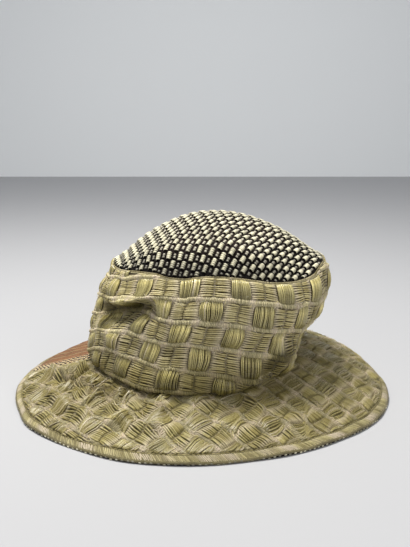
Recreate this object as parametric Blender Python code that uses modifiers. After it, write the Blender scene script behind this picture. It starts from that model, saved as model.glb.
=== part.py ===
# A soft brimmed hat sewn from woven straw and raffia cloths, resting on its rim.
# Metres, +Z up. The front of the hat faces -Y, and +X is the right side as seen
# from the front. Azimuths are in degrees from the front, positive towards +X.
# The origin lies on the resting plane at the middle of the hat's outline.

import math

import bmesh
import bpy

# ---------------------------------------------------------------- sizes

HAT_NAME = "straw_hat"

CLOTH = 0.0018            # thickness of the olive, panel and tip cloths
UNDER_CLOTH = 0.0014      # thickness of the cloth under the brim
GAP = 0.00035             # clear space between two cloths
UNDER_CLEAR = 0.0008      # further space between the brim's two cloths

MIDDLE_X = 0.0006         # middle of the whole outline, seen from the rim circle's
MIDDLE_Y = 0.0030         # centre, about which the tables below are laid out

OPEN_RADIUS = 0.0900      # head opening
OPEN_SHIFT = -0.0040      # the opening sits a little left of the rim's middle
RIM_HEIGHT = 0.0031       # middle of the brim's upper cloth at the rim
SOLE_WIDTH = 0.0042       # the turned edge under the rim that lies flat

FOOT_CLEAR = 0.0025       # wall's middle surface above the brim's middle surface
FOOT_LEVEL = 0.10         # share of the wall that turns up out of its seam
FOOT_RISE = 0.0035
FOOT_ROUND = 0.0015

APEX = (0.0110, 0.0080, 0.1612)

# Outline of the rim, height of the head opening and swell of the brim.
BRIM_ROUND = (
    # azimuth, rim_radius, open_height, swell
    (-180, 0.1680, 0.0370, 0.0060),
    (-150, 0.1690, 0.0360, 0.0030),
    (-120, 0.1690, 0.0350, 0.0010),
    (-100, 0.1690, 0.0345, 0.0000),
    (-80, 0.1680, 0.0345, 0.0000),
    (-68, 0.1673, 0.0345, 0.0000),
    (-56, 0.1695, 0.0345, 0.0000),
    (-45, 0.1672, 0.0345, 0.0000),
    (-33, 0.1655, 0.0343, 0.0000),
    (-22, 0.1660, 0.0340, 0.0000),
    (-10, 0.1638, 0.0338, 0.0000),
    (3, 0.1615, 0.0338, 0.0000),
    (15, 0.1594, 0.0338, 0.0000),
    (28, 0.1602, 0.0340, 0.0000),
    (40, 0.1611, 0.0343, 0.0000),
    (50, 0.1640, 0.0345, 0.0010),
    (60, 0.1670, 0.0350, 0.0020),
    (72, 0.1685, 0.0360, 0.0040),
    (90, 0.1695, 0.0370, 0.0065),
    (110, 0.1700, 0.0380, 0.0085),
    (135, 0.1700, 0.0380, 0.0090),
    (160, 0.1690, 0.0375, 0.0080),
)

# Fall of the brim from the opening (0) to the rim (1), and share of the swell.
BRIM_FALL = (
    # across, drop, swell_share
    (0.00, 0.000, 0.00),
    (0.15, 0.130, 0.35),
    (0.35, 0.320, 0.72),
    (0.55, 0.515, 0.93),
    (0.72, 0.690, 1.00),
    (0.86, 0.845, 0.80),
    (0.94, 0.940, 0.42),
    (1.00, 1.000, 0.00),
)

# Long folds of the brim cloth, each a ridge (or a furrow, if its height is
# negative) along a straight line in plan.
BRIM_FOLDS = (
    # name, start_x, start_y, end_x, end_y, half_width, height
    ("pinch_ridge", -0.135, -0.019, -0.104, -0.039, 0.0065, 0.0046),
    ("pinch_furrow", -0.128, -0.034, -0.101, -0.056, 0.0050, -0.0022),
    ("gather_left", -0.094, -0.060, -0.114, -0.078, 0.0060, 0.0024),
    ("gather_front_left", -0.075, -0.082, -0.090, -0.104, 0.0060, 0.0022),
    ("gather_middle", -0.055, -0.100, -0.062, -0.122, 0.0065, 0.0022),
    ("gather_front", -0.030, -0.108, -0.034, -0.128, 0.0065, 0.0020),
    ("gather_right", 0.040, -0.102, 0.047, -0.122, 0.0065, 0.0022),
)

# The edges of the back panel: straight seams in plan, from the opening out.
PANEL_SEAMS = (
    # across, left_azimuth, right_azimuth
    (0.00, -76.0, 122.0),
    (0.15, -81.0, 124.0),
    (0.30, -84.3, 126.0),
    (0.55, -88.5, 129.0),
    (0.70, -92.0, 131.0),
    (1.00, -98.5, 134.0),
)

# Side wall of the crown, in level rings from its foot to its upper seam.
CROWN_RINGS = (
    # level, height, radius, shift_x, shift_y
    (0.00, 0.0370, 0.0900, -0.0040, 0.0000),
    (0.10, 0.0410, 0.0930, -0.0040, 0.0000),
    (0.24, 0.0560, 0.0975, -0.0022, 0.0000),
    (0.36, 0.0665, 0.1002, 0.0008, 0.0000),
    (0.52, 0.0800, 0.1022, 0.0064, 0.0000),
    (0.68, 0.0950, 0.1020, 0.0112, 0.0005),
    (0.86, 0.1110, 0.0992, 0.0146, 0.0020),
    (0.94, 0.1178, 0.0972, 0.0150, 0.0030),
    (0.98, 0.1206, 0.0950, 0.0150, 0.0034),
    (1.00, 0.1204, 0.0932, 0.0150, 0.0036),
)

# How far the slumped wall rolls out over the brim, and how far it stands off.
FOOT_ROLL = (
    # azimuth, overhang, lift
    (-180, 0.0000, 0.0000),
    (-130, 0.0020, 0.0000),
    (-95, 0.0060, 0.0000),
    (-68, 0.0070, 0.0000),
    (-50, 0.0085, 0.0000),
    (-35, 0.0120, 0.0000),
    (-20, 0.0165, 0.0000),
    (-8, 0.0165, 0.0000),
    (4, 0.0135, 0.0000),
    (14, 0.0160, 0.0000),
    (24, 0.0140, 0.0005),
    (33, 0.0110, 0.0035),
    (42, 0.0105, 0.0050),
    (52, 0.0080, 0.0025),
    (64, 0.0010, 0.0000),
    (90, 0.0000, 0.0000),
    (135, 0.0000, 0.0000),
)

# Wave of the seam between the side wall and the tip.
SEAM_WAVE = (
    # azimuth, rise
    (-180, -0.0020),
    (-120, -0.0030),
    (-90, -0.0035),
    (-63, -0.0025),
    (-45, 0.0010),
    (-33, 0.0020),
    (-25, 0.0000),
    (-18, 0.0000),
    (-11, 0.0020),
    (-5, 0.0030),
    (3, 0.0025),
    (10, 0.0010),
    (18, -0.0015),
    (25, -0.0040),
    (33, -0.0055),
    (42, -0.0065),
    (50, -0.0062),
    (58, -0.0050),
    (65, -0.0010),
    (75, 0.0010),
    (100, 0.0000),
    (140, -0.0010),
)

# Dents (negative depth) and swellings of the side wall.
WALL_FOLDS = (
    # name, azimuth, level, half_azimuth, half_level, depth, climb_per_degree
    ("left_hollow", -41, 0.640, 12, 0.075, -0.0135, 0.0040),
    ("lip_over_hollow", -39, 0.765, 14, 0.045, 0.0050, 0.0055),
    ("left_side_hollow", -57, 0.530, 8, 0.080, -0.0070, 0.0),
    ("swelling_under_hollow", -46, 0.38, 16, 0.12, 0.0030, 0.0),
    ("front_swelling", 2, 0.55, 22, 0.25, 0.0025, 0.0),
    ("front_tuck", -8, 0.36, 30, 0.035, -0.0012, -0.0008),
    ("right_front_corner", 47, 0.20, 9, 0.11, 0.0045, 0.0),
    ("right_front_pinch", 34, 0.08, 7, 0.07, -0.0045, 0.0),
    ("right_side_tuck", 72, 0.28, 11, 0.10, -0.0068, 0.0),
    ("right_side_hollow", 108, 0.34, 15, 0.12, -0.0030, 0.0),
    ("right_back_swelling", 128, 0.62, 20, 0.16, 0.0030, 0.0),
    ("right_back_hollow", 146, 0.42, 14, 0.12, -0.0050, 0.0),
    ("back_swelling", 176, 0.66, 22, 0.14, 0.0030, 0.0),
    ("back_hollow", -162, 0.48, 16, 0.11, -0.0045, 0.0),
    ("left_back_swelling", -128, 0.58, 20, 0.16, 0.0030, 0.0),
    ("left_back_hollow", -112, 0.38, 12, 0.10, -0.0040, 0.0),
)

# Dome of the tip from its seam (0) to its top (1).
TIP_DOME = (
    # across, rise
    (0.00, 0.000),
    (0.05, 0.050),
    (0.14, 0.205),
    (0.25, 0.400),
    (0.40, 0.615),
    (0.55, 0.780),
    (0.70, 0.905),
    (0.85, 0.975),
    (1.00, 1.000),
)

# The front of the tip stands up as a steep facet below a ridge.
TIP_FACET = (
    # azimuth, ridge_across, ridge_rise, strength
    (-180, 0.20, 0.42, 0.0),
    (-80, 0.06, 0.14, 0.0),
    (-62, 0.08, 0.18, 0.6),
    (-45, 0.14, 0.36, 1.0),
    (-30, 0.17, 0.50, 1.0),
    (-10, 0.20, 0.585, 1.0),
    (5, 0.20, 0.60, 1.0),
    (20, 0.18, 0.52, 1.0),
    (32, 0.14, 0.36, 0.9),
    (45, 0.10, 0.22, 0.5),
    (60, 0.08, 0.17, 0.0),
    (120, 0.20, 0.42, 0.0),
)

# Columns of the meshes: width of a column, closer where the cloth is folded.
COLUMN_STEPS = (
    # from_azimuth, to_azimuth, columns
    (-180, -84, 14),
    (-84, -24, 16),
    (-24, 60, 16),
    (60, 180, 18),
)
WALL_LEVELS = (0.0, 0.035, 0.07, 0.10, 0.15, 0.23, 0.33, 0.44, 0.54, 0.63, 0.71,
               0.79, 0.86, 0.92, 0.965, 1.0)
TIP_ACROSS = (0.0, 0.07, 0.16, 0.27, 0.42, 0.60, 0.80)
BRIM_ACROSS = (0.0, 0.13, 0.26, 0.40, 0.54, 0.68, 0.81, 0.92, 1.0)
UNDER_ACROSS = (0.0, 0.20, 0.40, 0.60, 0.80, 0.92)


# ---------------------------------------------------------------- curves

def column(rows, x, col, period=None):
    """One column of a table at x, on a smooth curve with no overshoot."""
    xs = [row[0] for row in rows]
    ys = [row[col] for row in rows]
    if period:
        x = (x - xs[0]) % period + xs[0]
        xs = [xs[-1] - period] + xs + [xs[0] + period, xs[1] + period]
        ys = [ys[-1]] + ys + [ys[0], ys[1]]
    if x <= xs[0]:
        return ys[0]
    if x >= xs[-1]:
        return ys[-1]
    i = 0
    while xs[i + 1] < x:
        i += 1

    def slope(j):
        if j <= 0 or j >= len(xs) - 1:
            if period:
                return 0.0
            a = 0 if j <= 0 else len(xs) - 2
            return (ys[a + 1] - ys[a]) / (xs[a + 1] - xs[a])
        before = (ys[j] - ys[j - 1]) / (xs[j] - xs[j - 1])
        after = (ys[j + 1] - ys[j]) / (xs[j + 1] - xs[j])
        if before * after <= 0:
            return 0.0
        return 2 * before * after / (before + after)

    h = xs[i + 1] - xs[i]
    t = (x - xs[i]) / h
    m0, m1 = slope(i) * h, slope(i + 1) * h
    return ((2 * t ** 3 - 3 * t ** 2 + 1) * ys[i] + (t ** 3 - 2 * t ** 2 + t) * m0
            + (3 * t ** 2 - 2 * t ** 3) * ys[i + 1] + (t ** 3 - t ** 2) * m1)


def ease(x):
    x = min(max(x, 0.0), 1.0)
    return x * x * (3 - 2 * x)


def bump(x, half):
    """1 in the middle, falling smoothly to 0 at 1.6 half widths."""
    t = abs(x) / half / 1.6
    return 0.0 if t >= 1 else (1 - t * t) ** 2


def angle_gap(a, b):
    return (a - b + 180.0) % 360.0 - 180.0


def bearing(az):
    return math.sin(math.radians(az)), -math.cos(math.radians(az))


# ---------------------------------------------------------------- surfaces

def brim_smooth(az, across):
    """Brim without its folds; middle of its upper cloth."""
    s, c = bearing(az)
    rim = column(BRIM_ROUND, az, 1, 360)
    top = column(BRIM_ROUND, az, 2, 360)
    x0, y0 = OPEN_SHIFT + OPEN_RADIUS * s, OPEN_RADIUS * c
    x = x0 + (rim * s - x0) * across
    y = y0 + (rim * c - y0) * across
    z = top + (RIM_HEIGHT - top) * column(BRIM_FALL, across, 1)
    z += column(BRIM_ROUND, az, 3, 360) * column(BRIM_FALL, across, 2)
    return x, y, z


def fold_height(x, y):
    total = 0.0
    for name, x0, y0, x1, y1, half, height in BRIM_FOLDS:
        ux, uy = x1 - x0, y1 - y0
        length = math.hypot(ux, uy)
        along = ((x - x0) * ux + (y - y0) * uy) / length
        off = ((x - x0) * uy - (y - y0) * ux) / length
        over = max(-along, along - length, 0.0)
        total += height * bump(off, half) * bump(over, half)
    return total


def brim_point(az, across):
    x, y, z = brim_smooth(az, across)
    hem = 1 - ease((across - 0.80) / 0.15)
    return x, y, z + fold_height(x, y) * hem


def brim_height(x, y):
    """Height of the smooth brim over a point in plan."""
    az = math.degrees(math.atan2(x - OPEN_SHIFT, -y))
    z = 0.0
    for turn in range(5):
        a = brim_smooth(az, 0.0)
        b = brim_smooth(az, 1.0)
        ux, uy = b[0] - a[0], b[1] - a[1]
        t = ((x - a[0]) * ux + (y - a[1]) * uy) / (ux * ux + uy * uy)
        z = brim_smooth(az, min(max(t, 0.0), 1.0))[2]
        az += angle_gap(math.degrees(math.atan2(x, -y)),
                        math.degrees(math.atan2(a[0] + ux * t, -(a[1] + uy * t))))
    return z


def wall_point(az, level):
    """Middle surface of the crown's side wall."""
    s, c = bearing(az)
    overhang = column(FOOT_ROLL, az, 1, 360)
    lift = column(FOOT_ROLL, az, 2, 360)
    u = min(level / FOOT_LEVEL, 1.0) * math.pi / 2
    foot_r = OPEN_RADIUS + (overhang + FOOT_ROUND) * math.sin(u)
    fx, fy = OPEN_SHIFT + foot_r * s, foot_r * c
    foot_h = (brim_height(fx, fy) + fold_height(fx, fy) + FOOT_CLEAR
              + (FOOT_RISE + lift) * (1 - math.cos(u)))
    if level <= FOOT_LEVEL:
        return fx, fy, foot_h
    h = column(CROWN_RINGS, level, 1)
    r = column(CROWN_RINGS, level, 2)
    cx = column(CROWN_RINGS, level, 3)
    cy = column(CROWN_RINGS, level, 4)
    r += ((foot_r - column(CROWN_RINGS, FOOT_LEVEL, 2))
          * (1 - ease((level - FOOT_LEVEL) / 0.24)))
    h += ((foot_h - column(CROWN_RINGS, FOOT_LEVEL, 1))
          * (1 - ease((level - FOOT_LEVEL) / 0.40)))
    h += column(SEAM_WAVE, az, 1, 360) * max(0.0, (level - 0.45) / 0.55) ** 1.5
    for name, at_az, at_level, half_az, half_level, depth, climb in WALL_FOLDS:
        off = angle_gap(az, at_az)
        r += depth * bump(off, half_az) * bump(level - at_level - climb * off, half_level)
    return cx + r * s, cy + r * c, h


def tip_point(az, across):
    """Middle surface of the tip."""
    x0, y0, z0 = wall_point(az, 1.0)
    z0 += CLOTH + GAP
    x = x0 + (APEX[0] - x0) * across
    y = y0 + (APEX[1] - y0) * across
    rise = column(TIP_DOME, across, 1)
    strength = column(TIP_FACET, az, 3, 360)
    if strength > 0:
        a = column(TIP_FACET, az, 1, 360)
        b = column(TIP_FACET, az, 2, 360)
        facet = (
            # across, rise
            (0.0, 0.0),
            (a * 0.45, b * 0.42),
            (a * 0.88, b * 0.90),
            (a * 1.18, b + (1 - b) * 0.06),
            ((a + 1) / 2, b + (1 - b) * 0.70),
            (0.88, b + (1 - b) * 0.985),
            (1.0, 1.0),
        )
        rise += (column(facet, across, 1) - rise) * strength
    return x, y, z0 + (APEX[2] - z0) * rise


# ---------------------------------------------------------------- meshes

def material(name, colour, roughness):
    mat = bpy.data.materials.new(name)
    mat.use_nodes = True
    shader = mat.node_tree.nodes["Principled BSDF"]
    shader.inputs["Base Color"].default_value = (*colour, 1.0)
    shader.inputs["Roughness"].default_value = roughness
    shader.inputs["Metallic"].default_value = 0.0
    return mat


def placed(point):
    return point[0] - MIDDLE_X, point[1] - MIDDLE_Y, point[2]


def cloth_sheet(name, grid, closed, thickness, mat, collection, cap=None):
    """A grid of rows of points as an open cloth, given its thickness by Solidify.

    grid[i][j] is column i, row j. closed joins the last column to the first.
    cap is a point that closes the last row into a fan.
    """
    bm = bmesh.new()
    verts = [[bm.verts.new(placed(p)) for p in line] for line in grid]
    n = len(verts)
    for i in range(n if closed else n - 1):
        a, b = verts[i], verts[(i + 1) % n]
        for j in range(len(a) - 1):
            bm.faces.new((a[j], b[j], b[j + 1], a[j + 1]))
    if cap:
        top = bm.verts.new(placed(cap))
        for i in range(n):
            bm.faces.new((verts[i][-1], verts[(i + 1) % n][-1], top))
    bmesh.ops.triangulate(bm, faces=bm.faces[:])
    mesh = bpy.data.meshes.new(name)
    bm.to_mesh(mesh)
    bm.free()
    mesh.materials.append(mat)
    mesh.shade_smooth()
    piece = bpy.data.objects.new(name, mesh)
    solid = piece.modifiers.new("cloth", "SOLIDIFY")
    solid.thickness = thickness
    solid.offset = 0.0
    solid.use_even_offset = True
    solid.use_quality_normals = True
    collection.objects.link(piece)
    return piece


def lofted_ring(name, sections, mat, collection):
    """Closed sections of equal length, joined round a full turn."""
    bm = bmesh.new()
    verts = [[bm.verts.new(placed(p)) for p in section] for section in sections]
    n, m = len(verts), len(verts[0])
    for i in range(n):
        a, b = verts[i], verts[(i + 1) % n]
        for j in range(m):
            k = (j + 1) % m
            bm.faces.new((a[j], a[k], b[k], b[j]))
    bmesh.ops.triangulate(bm, faces=bm.faces[:])
    bmesh.ops.recalc_face_normals(bm, faces=bm.faces[:])
    mesh = bpy.data.meshes.new(name)
    bm.to_mesh(mesh)
    bm.free()
    mesh.materials.append(mat)
    mesh.shade_smooth()
    mesh.set_sharp_from_angle(angle=math.radians(40))
    piece = bpy.data.objects.new(name, mesh)
    collection.objects.link(piece)
    return piece


def columns_round():
    angles = []
    for start, end, count in COLUMN_STEPS:
        angles += [start + (end - start) * i / count for i in range(count)]
    return angles


def panel_edge(across, side):
    return column(PANEL_SEAMS, across, side)


def brim_sector(from_side, to_side, wrap, count, inset):
    """Columns of the brim between its two panel seams, kept clear of them."""
    grid = []
    for i in range(count + 1):
        line = []
        for across in BRIM_ACROSS:
            a = panel_edge(across, from_side)
            b = panel_edge(across, to_side) + wrap
            radius = OPEN_RADIUS + (0.168 - OPEN_RADIUS) * across
            margin = math.degrees(inset / radius)
            a, b = a + margin, b - margin
            line.append(brim_point(a + (b - a) * i / count, across))
        grid.append(line)
    return grid


def under_section(az):
    """Section of the cloth under the brim, with its flat resting edge."""
    s, c = bearing(az)
    rim = column(BRIM_ROUND, az, 1, 360) - 0.0004
    top, bottom = [], []
    for across in UNDER_ACROSS:
        x, y, z = brim_smooth(az, across)
        x2, y2, z2 = brim_smooth(az, across + 0.01)
        run = math.hypot(x2 - x, y2 - y)
        slope = (z - z2) / run
        steep = math.sqrt(1 + slope * slope)
        # furrows of the upper cloth reach down, so this cloth runs below them
        furrow = min(fold_height(x, y), 0.0) * (1 - ease((across - 0.80) / 0.15))
        z_top = z + furrow - (CLOTH / 2 + GAP) * steep - UNDER_CLEAR
        top.append((x, y, z_top))
        bottom.append((x, y, z_top - UNDER_CLOTH * steep))
    rim_top = RIM_HEIGHT - (CLOTH / 2 + GAP) * 1.25 - 0.0004
    top.append((rim * s, rim * c, rim_top))
    sole_in = rim - SOLE_WIDTH
    bottom[-1] = (bottom[-1][0], bottom[-1][1], max(bottom[-1][2], 0.0009))
    outer = [(rim * s, rim * c, 0.0), (sole_in * s, sole_in * c, 0.0)]
    return top + outer + bottom[::-1]


def build():
    for item in list(bpy.data.objects):
        bpy.data.objects.remove(item, do_unlink=True)

    hat = bpy.data.collections.new(HAT_NAME)
    bpy.context.scene.collection.children.link(hat)

    olive = material("olive_raffia", (0.40, 0.37, 0.17), 0.55)
    olive_brim = material("olive_raffia_bias", (0.38, 0.35, 0.17), 0.60)
    checked = material("black_cream_straw", (0.34, 0.32, 0.26), 0.55)
    dotted = material("black_cream_straw_under", (0.20, 0.19, 0.15), 0.60)
    terracotta = material("terracotta_rib", (0.42, 0.22, 0.12), 0.70)

    angles = columns_round()

    wall = [[wall_point(az, level) for level in WALL_LEVELS] for az in angles]
    cloth_sheet("crown_band", wall, True, CLOTH, olive, hat)

    tip = [[tip_point(az, across) for across in TIP_ACROSS] for az in angles]
    cloth_sheet("crown_tip", tip, True, CLOTH, checked, hat, cap=APEX)

    front = brim_sector(1, 2, 0.0, 42, GAP / 2 + 0.0001)
    cloth_sheet("brim_top", front, False, CLOTH, olive_brim, hat)

    back = brim_sector(2, 1, 360.0, 20, GAP / 2 + 0.0001)
    cloth_sheet("brim_back_panel", back, False, CLOTH, terracotta, hat)

    sections = [under_section(-180 + 360 * i / 56) for i in range(56)]
    lofted_ring("brim_underside", sections, dotted, hat)


build()
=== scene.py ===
# Looks of a soft brimmed straw hat: every cloth as woven strands over a fine
# shell. Metres, +Z up, the front faces -Y. Azimuths are degrees from the front,
# positive towards +X. Lattice positions of the weaves are in millimetres.

import math

import bpy
import numpy as np
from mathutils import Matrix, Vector


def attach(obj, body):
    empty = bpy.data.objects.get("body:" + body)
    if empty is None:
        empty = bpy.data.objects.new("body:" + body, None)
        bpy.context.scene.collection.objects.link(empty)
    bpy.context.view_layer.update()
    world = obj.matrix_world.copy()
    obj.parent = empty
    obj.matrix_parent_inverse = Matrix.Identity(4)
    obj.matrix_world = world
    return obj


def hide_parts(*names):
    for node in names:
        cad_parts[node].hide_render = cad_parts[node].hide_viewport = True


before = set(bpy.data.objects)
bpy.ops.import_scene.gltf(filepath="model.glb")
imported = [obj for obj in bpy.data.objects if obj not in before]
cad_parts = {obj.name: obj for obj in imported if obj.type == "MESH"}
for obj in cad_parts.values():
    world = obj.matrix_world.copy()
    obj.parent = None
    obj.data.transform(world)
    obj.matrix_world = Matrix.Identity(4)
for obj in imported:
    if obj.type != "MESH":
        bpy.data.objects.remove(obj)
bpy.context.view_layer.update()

MM = 0.001

# ------------------------------------------------------------ form of the hat

CLOTH = 0.0018
UNDER_CLOTH = 0.0014
GAP = 0.00035
UNDER_CLEAR = 0.0008
MIDDLE_X = 0.0006
MIDDLE_Y = 0.0030
OPEN_RADIUS = 0.0900
OPEN_SHIFT = -0.0040
RIM_HEIGHT = 0.0031
SOLE_WIDTH = 0.0042
FOOT_CLEAR = 0.0025
FOOT_LEVEL = 0.10
FOOT_RISE = 0.0035
FOOT_ROUND = 0.0015
APEX = (0.0110, 0.0080, 0.1612)

BRIM_ROUND = (
    # azimuth, rim_radius, open_height, swell
    (-180, 0.1680, 0.0370, 0.0060),
    (-150, 0.1690, 0.0360, 0.0030),
    (-120, 0.1690, 0.0350, 0.0010),
    (-100, 0.1690, 0.0345, 0.0000),
    (-80, 0.1680, 0.0345, 0.0000),
    (-68, 0.1673, 0.0345, 0.0000),
    (-56, 0.1695, 0.0345, 0.0000),
    (-45, 0.1672, 0.0345, 0.0000),
    (-33, 0.1655, 0.0343, 0.0000),
    (-22, 0.1660, 0.0340, 0.0000),
    (-10, 0.1638, 0.0338, 0.0000),
    (3, 0.1615, 0.0338, 0.0000),
    (15, 0.1594, 0.0338, 0.0000),
    (28, 0.1602, 0.0340, 0.0000),
    (40, 0.1611, 0.0343, 0.0000),
    (50, 0.1640, 0.0345, 0.0010),
    (60, 0.1670, 0.0350, 0.0020),
    (72, 0.1685, 0.0360, 0.0040),
    (90, 0.1695, 0.0370, 0.0065),
    (110, 0.1700, 0.0380, 0.0085),
    (135, 0.1700, 0.0380, 0.0090),
    (160, 0.1690, 0.0375, 0.0080),
)

BRIM_FALL = (
    # across, drop, swell_share
    (0.00, 0.000, 0.00),
    (0.15, 0.130, 0.35),
    (0.35, 0.320, 0.72),
    (0.55, 0.515, 0.93),
    (0.72, 0.690, 1.00),
    (0.86, 0.845, 0.80),
    (0.94, 0.940, 0.42),
    (1.00, 1.000, 0.00),
)

BRIM_FOLDS = (
    # name, start_x, start_y, end_x, end_y, half_width, height
    ("pinch_ridge", -0.135, -0.019, -0.104, -0.039, 0.0065, 0.0046),
    ("pinch_furrow", -0.128, -0.034, -0.101, -0.056, 0.0050, -0.0022),
    ("gather_left", -0.094, -0.060, -0.114, -0.078, 0.0060, 0.0024),
    ("gather_front_left", -0.075, -0.082, -0.090, -0.104, 0.0060, 0.0022),
    ("gather_middle", -0.055, -0.100, -0.062, -0.122, 0.0065, 0.0022),
    ("gather_front", -0.030, -0.108, -0.034, -0.128, 0.0065, 0.0020),
    ("gather_right", 0.040, -0.102, 0.047, -0.122, 0.0065, 0.0022),
)

PANEL_SEAMS = (
    # across, left_azimuth, right_azimuth
    (0.00, -76.0, 122.0),
    (0.15, -81.0, 124.0),
    (0.30, -84.3, 126.0),
    (0.55, -88.5, 129.0),
    (0.70, -92.0, 131.0),
    (1.00, -98.5, 134.0),
)

CROWN_RINGS = (
    # level, height, radius, shift_x, shift_y
    (0.00, 0.0370, 0.0900, -0.0040, 0.0000),
    (0.10, 0.0410, 0.0930, -0.0040, 0.0000),
    (0.24, 0.0560, 0.0975, -0.0022, 0.0000),
    (0.36, 0.0665, 0.1002, 0.0008, 0.0000),
    (0.52, 0.0800, 0.1022, 0.0064, 0.0000),
    (0.68, 0.0950, 0.1020, 0.0112, 0.0005),
    (0.86, 0.1110, 0.0992, 0.0146, 0.0020),
    (0.94, 0.1178, 0.0972, 0.0150, 0.0030),
    (0.98, 0.1206, 0.0950, 0.0150, 0.0034),
    (1.00, 0.1204, 0.0932, 0.0150, 0.0036),
)

FOOT_ROLL = (
    # azimuth, overhang, lift
    (-180, 0.0000, 0.0000),
    (-130, 0.0020, 0.0000),
    (-95, 0.0060, 0.0000),
    (-68, 0.0070, 0.0000),
    (-50, 0.0085, 0.0000),
    (-35, 0.0120, 0.0000),
    (-20, 0.0165, 0.0000),
    (-8, 0.0165, 0.0000),
    (4, 0.0135, 0.0000),
    (14, 0.0160, 0.0000),
    (24, 0.0140, 0.0005),
    (33, 0.0110, 0.0035),
    (42, 0.0105, 0.0050),
    (52, 0.0080, 0.0025),
    (64, 0.0010, 0.0000),
    (90, 0.0000, 0.0000),
    (135, 0.0000, 0.0000),
)

SEAM_WAVE = (
    # azimuth, rise
    (-180, -0.0020),
    (-120, -0.0030),
    (-90, -0.0035),
    (-63, -0.0025),
    (-45, 0.0010),
    (-33, 0.0020),
    (-25, 0.0000),
    (-18, 0.0000),
    (-11, 0.0020),
    (-5, 0.0030),
    (3, 0.0025),
    (10, 0.0010),
    (18, -0.0015),
    (25, -0.0040),
    (33, -0.0055),
    (42, -0.0065),
    (50, -0.0062),
    (58, -0.0050),
    (65, -0.0010),
    (75, 0.0010),
    (100, 0.0000),
    (140, -0.0010),
)

WALL_FOLDS = (
    # name, azimuth, level, half_azimuth, half_level, depth, climb_per_degree
    ("left_hollow", -41, 0.640, 12, 0.075, -0.0135, 0.0040),
    ("lip_over_hollow", -39, 0.765, 14, 0.045, 0.0050, 0.0055),
    ("left_side_hollow", -57, 0.530, 8, 0.080, -0.0070, 0.0),
    ("swelling_under_hollow", -46, 0.38, 16, 0.12, 0.0030, 0.0),
    ("front_swelling", 2, 0.55, 22, 0.25, 0.0025, 0.0),
    ("front_tuck", -8, 0.36, 30, 0.035, -0.0012, -0.0008),
    ("right_front_corner", 47, 0.20, 9, 0.11, 0.0045, 0.0),
    ("right_front_pinch", 34, 0.08, 7, 0.07, -0.0045, 0.0),
    ("right_side_tuck", 72, 0.28, 11, 0.10, -0.0068, 0.0),
    ("right_side_hollow", 108, 0.34, 15, 0.12, -0.0030, 0.0),
    ("right_back_swelling", 128, 0.62, 20, 0.16, 0.0030, 0.0),
    ("right_back_hollow", 146, 0.42, 14, 0.12, -0.0050, 0.0),
    ("back_swelling", 176, 0.66, 22, 0.14, 0.0030, 0.0),
    ("back_hollow", -162, 0.48, 16, 0.11, -0.0045, 0.0),
    ("left_back_swelling", -128, 0.58, 20, 0.16, 0.0030, 0.0),
    ("left_back_hollow", -112, 0.38, 12, 0.10, -0.0040, 0.0),
)

TIP_DOME = (
    # across, rise
    (0.00, 0.000),
    (0.05, 0.050),
    (0.14, 0.205),
    (0.25, 0.400),
    (0.40, 0.615),
    (0.55, 0.780),
    (0.70, 0.905),
    (0.85, 0.975),
    (1.00, 1.000),
)

TIP_FACET = (
    # azimuth, ridge_across, ridge_rise, strength
    (-180, 0.20, 0.42, 0.0),
    (-80, 0.06, 0.14, 0.0),
    (-62, 0.08, 0.18, 0.6),
    (-45, 0.14, 0.36, 1.0),
    (-30, 0.17, 0.50, 1.0),
    (-10, 0.20, 0.585, 1.0),
    (5, 0.20, 0.60, 1.0),
    (20, 0.18, 0.52, 1.0),
    (32, 0.14, 0.36, 0.9),
    (45, 0.10, 0.22, 0.5),
    (60, 0.08, 0.17, 0.0),
    (120, 0.20, 0.42, 0.0),
)

# ------------------------------------------------------------ weave tables

PERIOD = 42.0             # from one float block to the next in a row, mm
PITCH = 19.2              # from row to row, mm
BLOCK_HALF = 8.3          # half width of a float block
BLOCK_REACH = 8.9         # half length of its floats, ends under the cords
CORD_HALF = 1.8           # half width of the plain cord between rows
STRIP_END = 11.9          # the plain strip beside a block ends here

# Where blocks of the side wall's weave sit, which the rows wave through.
WEAVE_MARKS = (
    # row, column_azimuth, azimuth, height_mm
    (1, -38, -38.2, 110.1), (1, -14, -14.3, 116.1), (1, 10, 9.5, 114.3),
    (1, 34, 31.9, 107.8), (1, 58, 54.9, 104.5),
    (2, -26, -25.6, 100.4), (2, -2, -3.1, 98.0), (2, 22, 22.4, 92.9),
    (2, 46, 48.3, 84.7),
    (3, -38, -33.5, 84.2), (3, -14, -13.6, 80.5), (3, 10, 10.6, 78.2),
    (3, 34, 41.9, 64.6),
    (4, -50, -45.0, 68.9), (4, -26, -24.6, 62.4), (4, -2, -0.7, 56.4),
    (4, 22, 25.8, 50.4),
    (5, -38, -39.3, 46.9), (5, -14, -12.9, 45.2), (5, 10, 12.0, 34.3),
)

BRIM_TURN = 46.0          # direction of the brim's floats in plan at the front
BRIM_CONE = 0.88          # the brim's cloth as a flat sector of a cone
BRIM_PHASE = (34.0, 10.0)

TILE_SHORT, TILE_LONG = 5.3, 8.0
TILE_TURN = 64.0          # long way of the tip's tiles, from +X

HEM = 0.905               # the stitch line of the hem, at the front and the back
HEM_LINE = (              # azimuth, across: the hem is narrower at the sides
    (-180, 0.905), (-105, 0.905), (-85, 0.928), (-60, 0.930), (-40, 0.922), (-20, 0.908),
    (0, 0.905), (25, 0.908), (50, 0.918), (80, 0.925), (110, 0.915), (130, 0.905), (180, 0.905),
)
SEED = 41


def srgb(r, g, b):
    c = np.array([r, g, b]) / 255.0
    return np.where(c <= 0.04045, c / 12.92, ((c + 0.055) / 1.055) ** 2.4)


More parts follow.
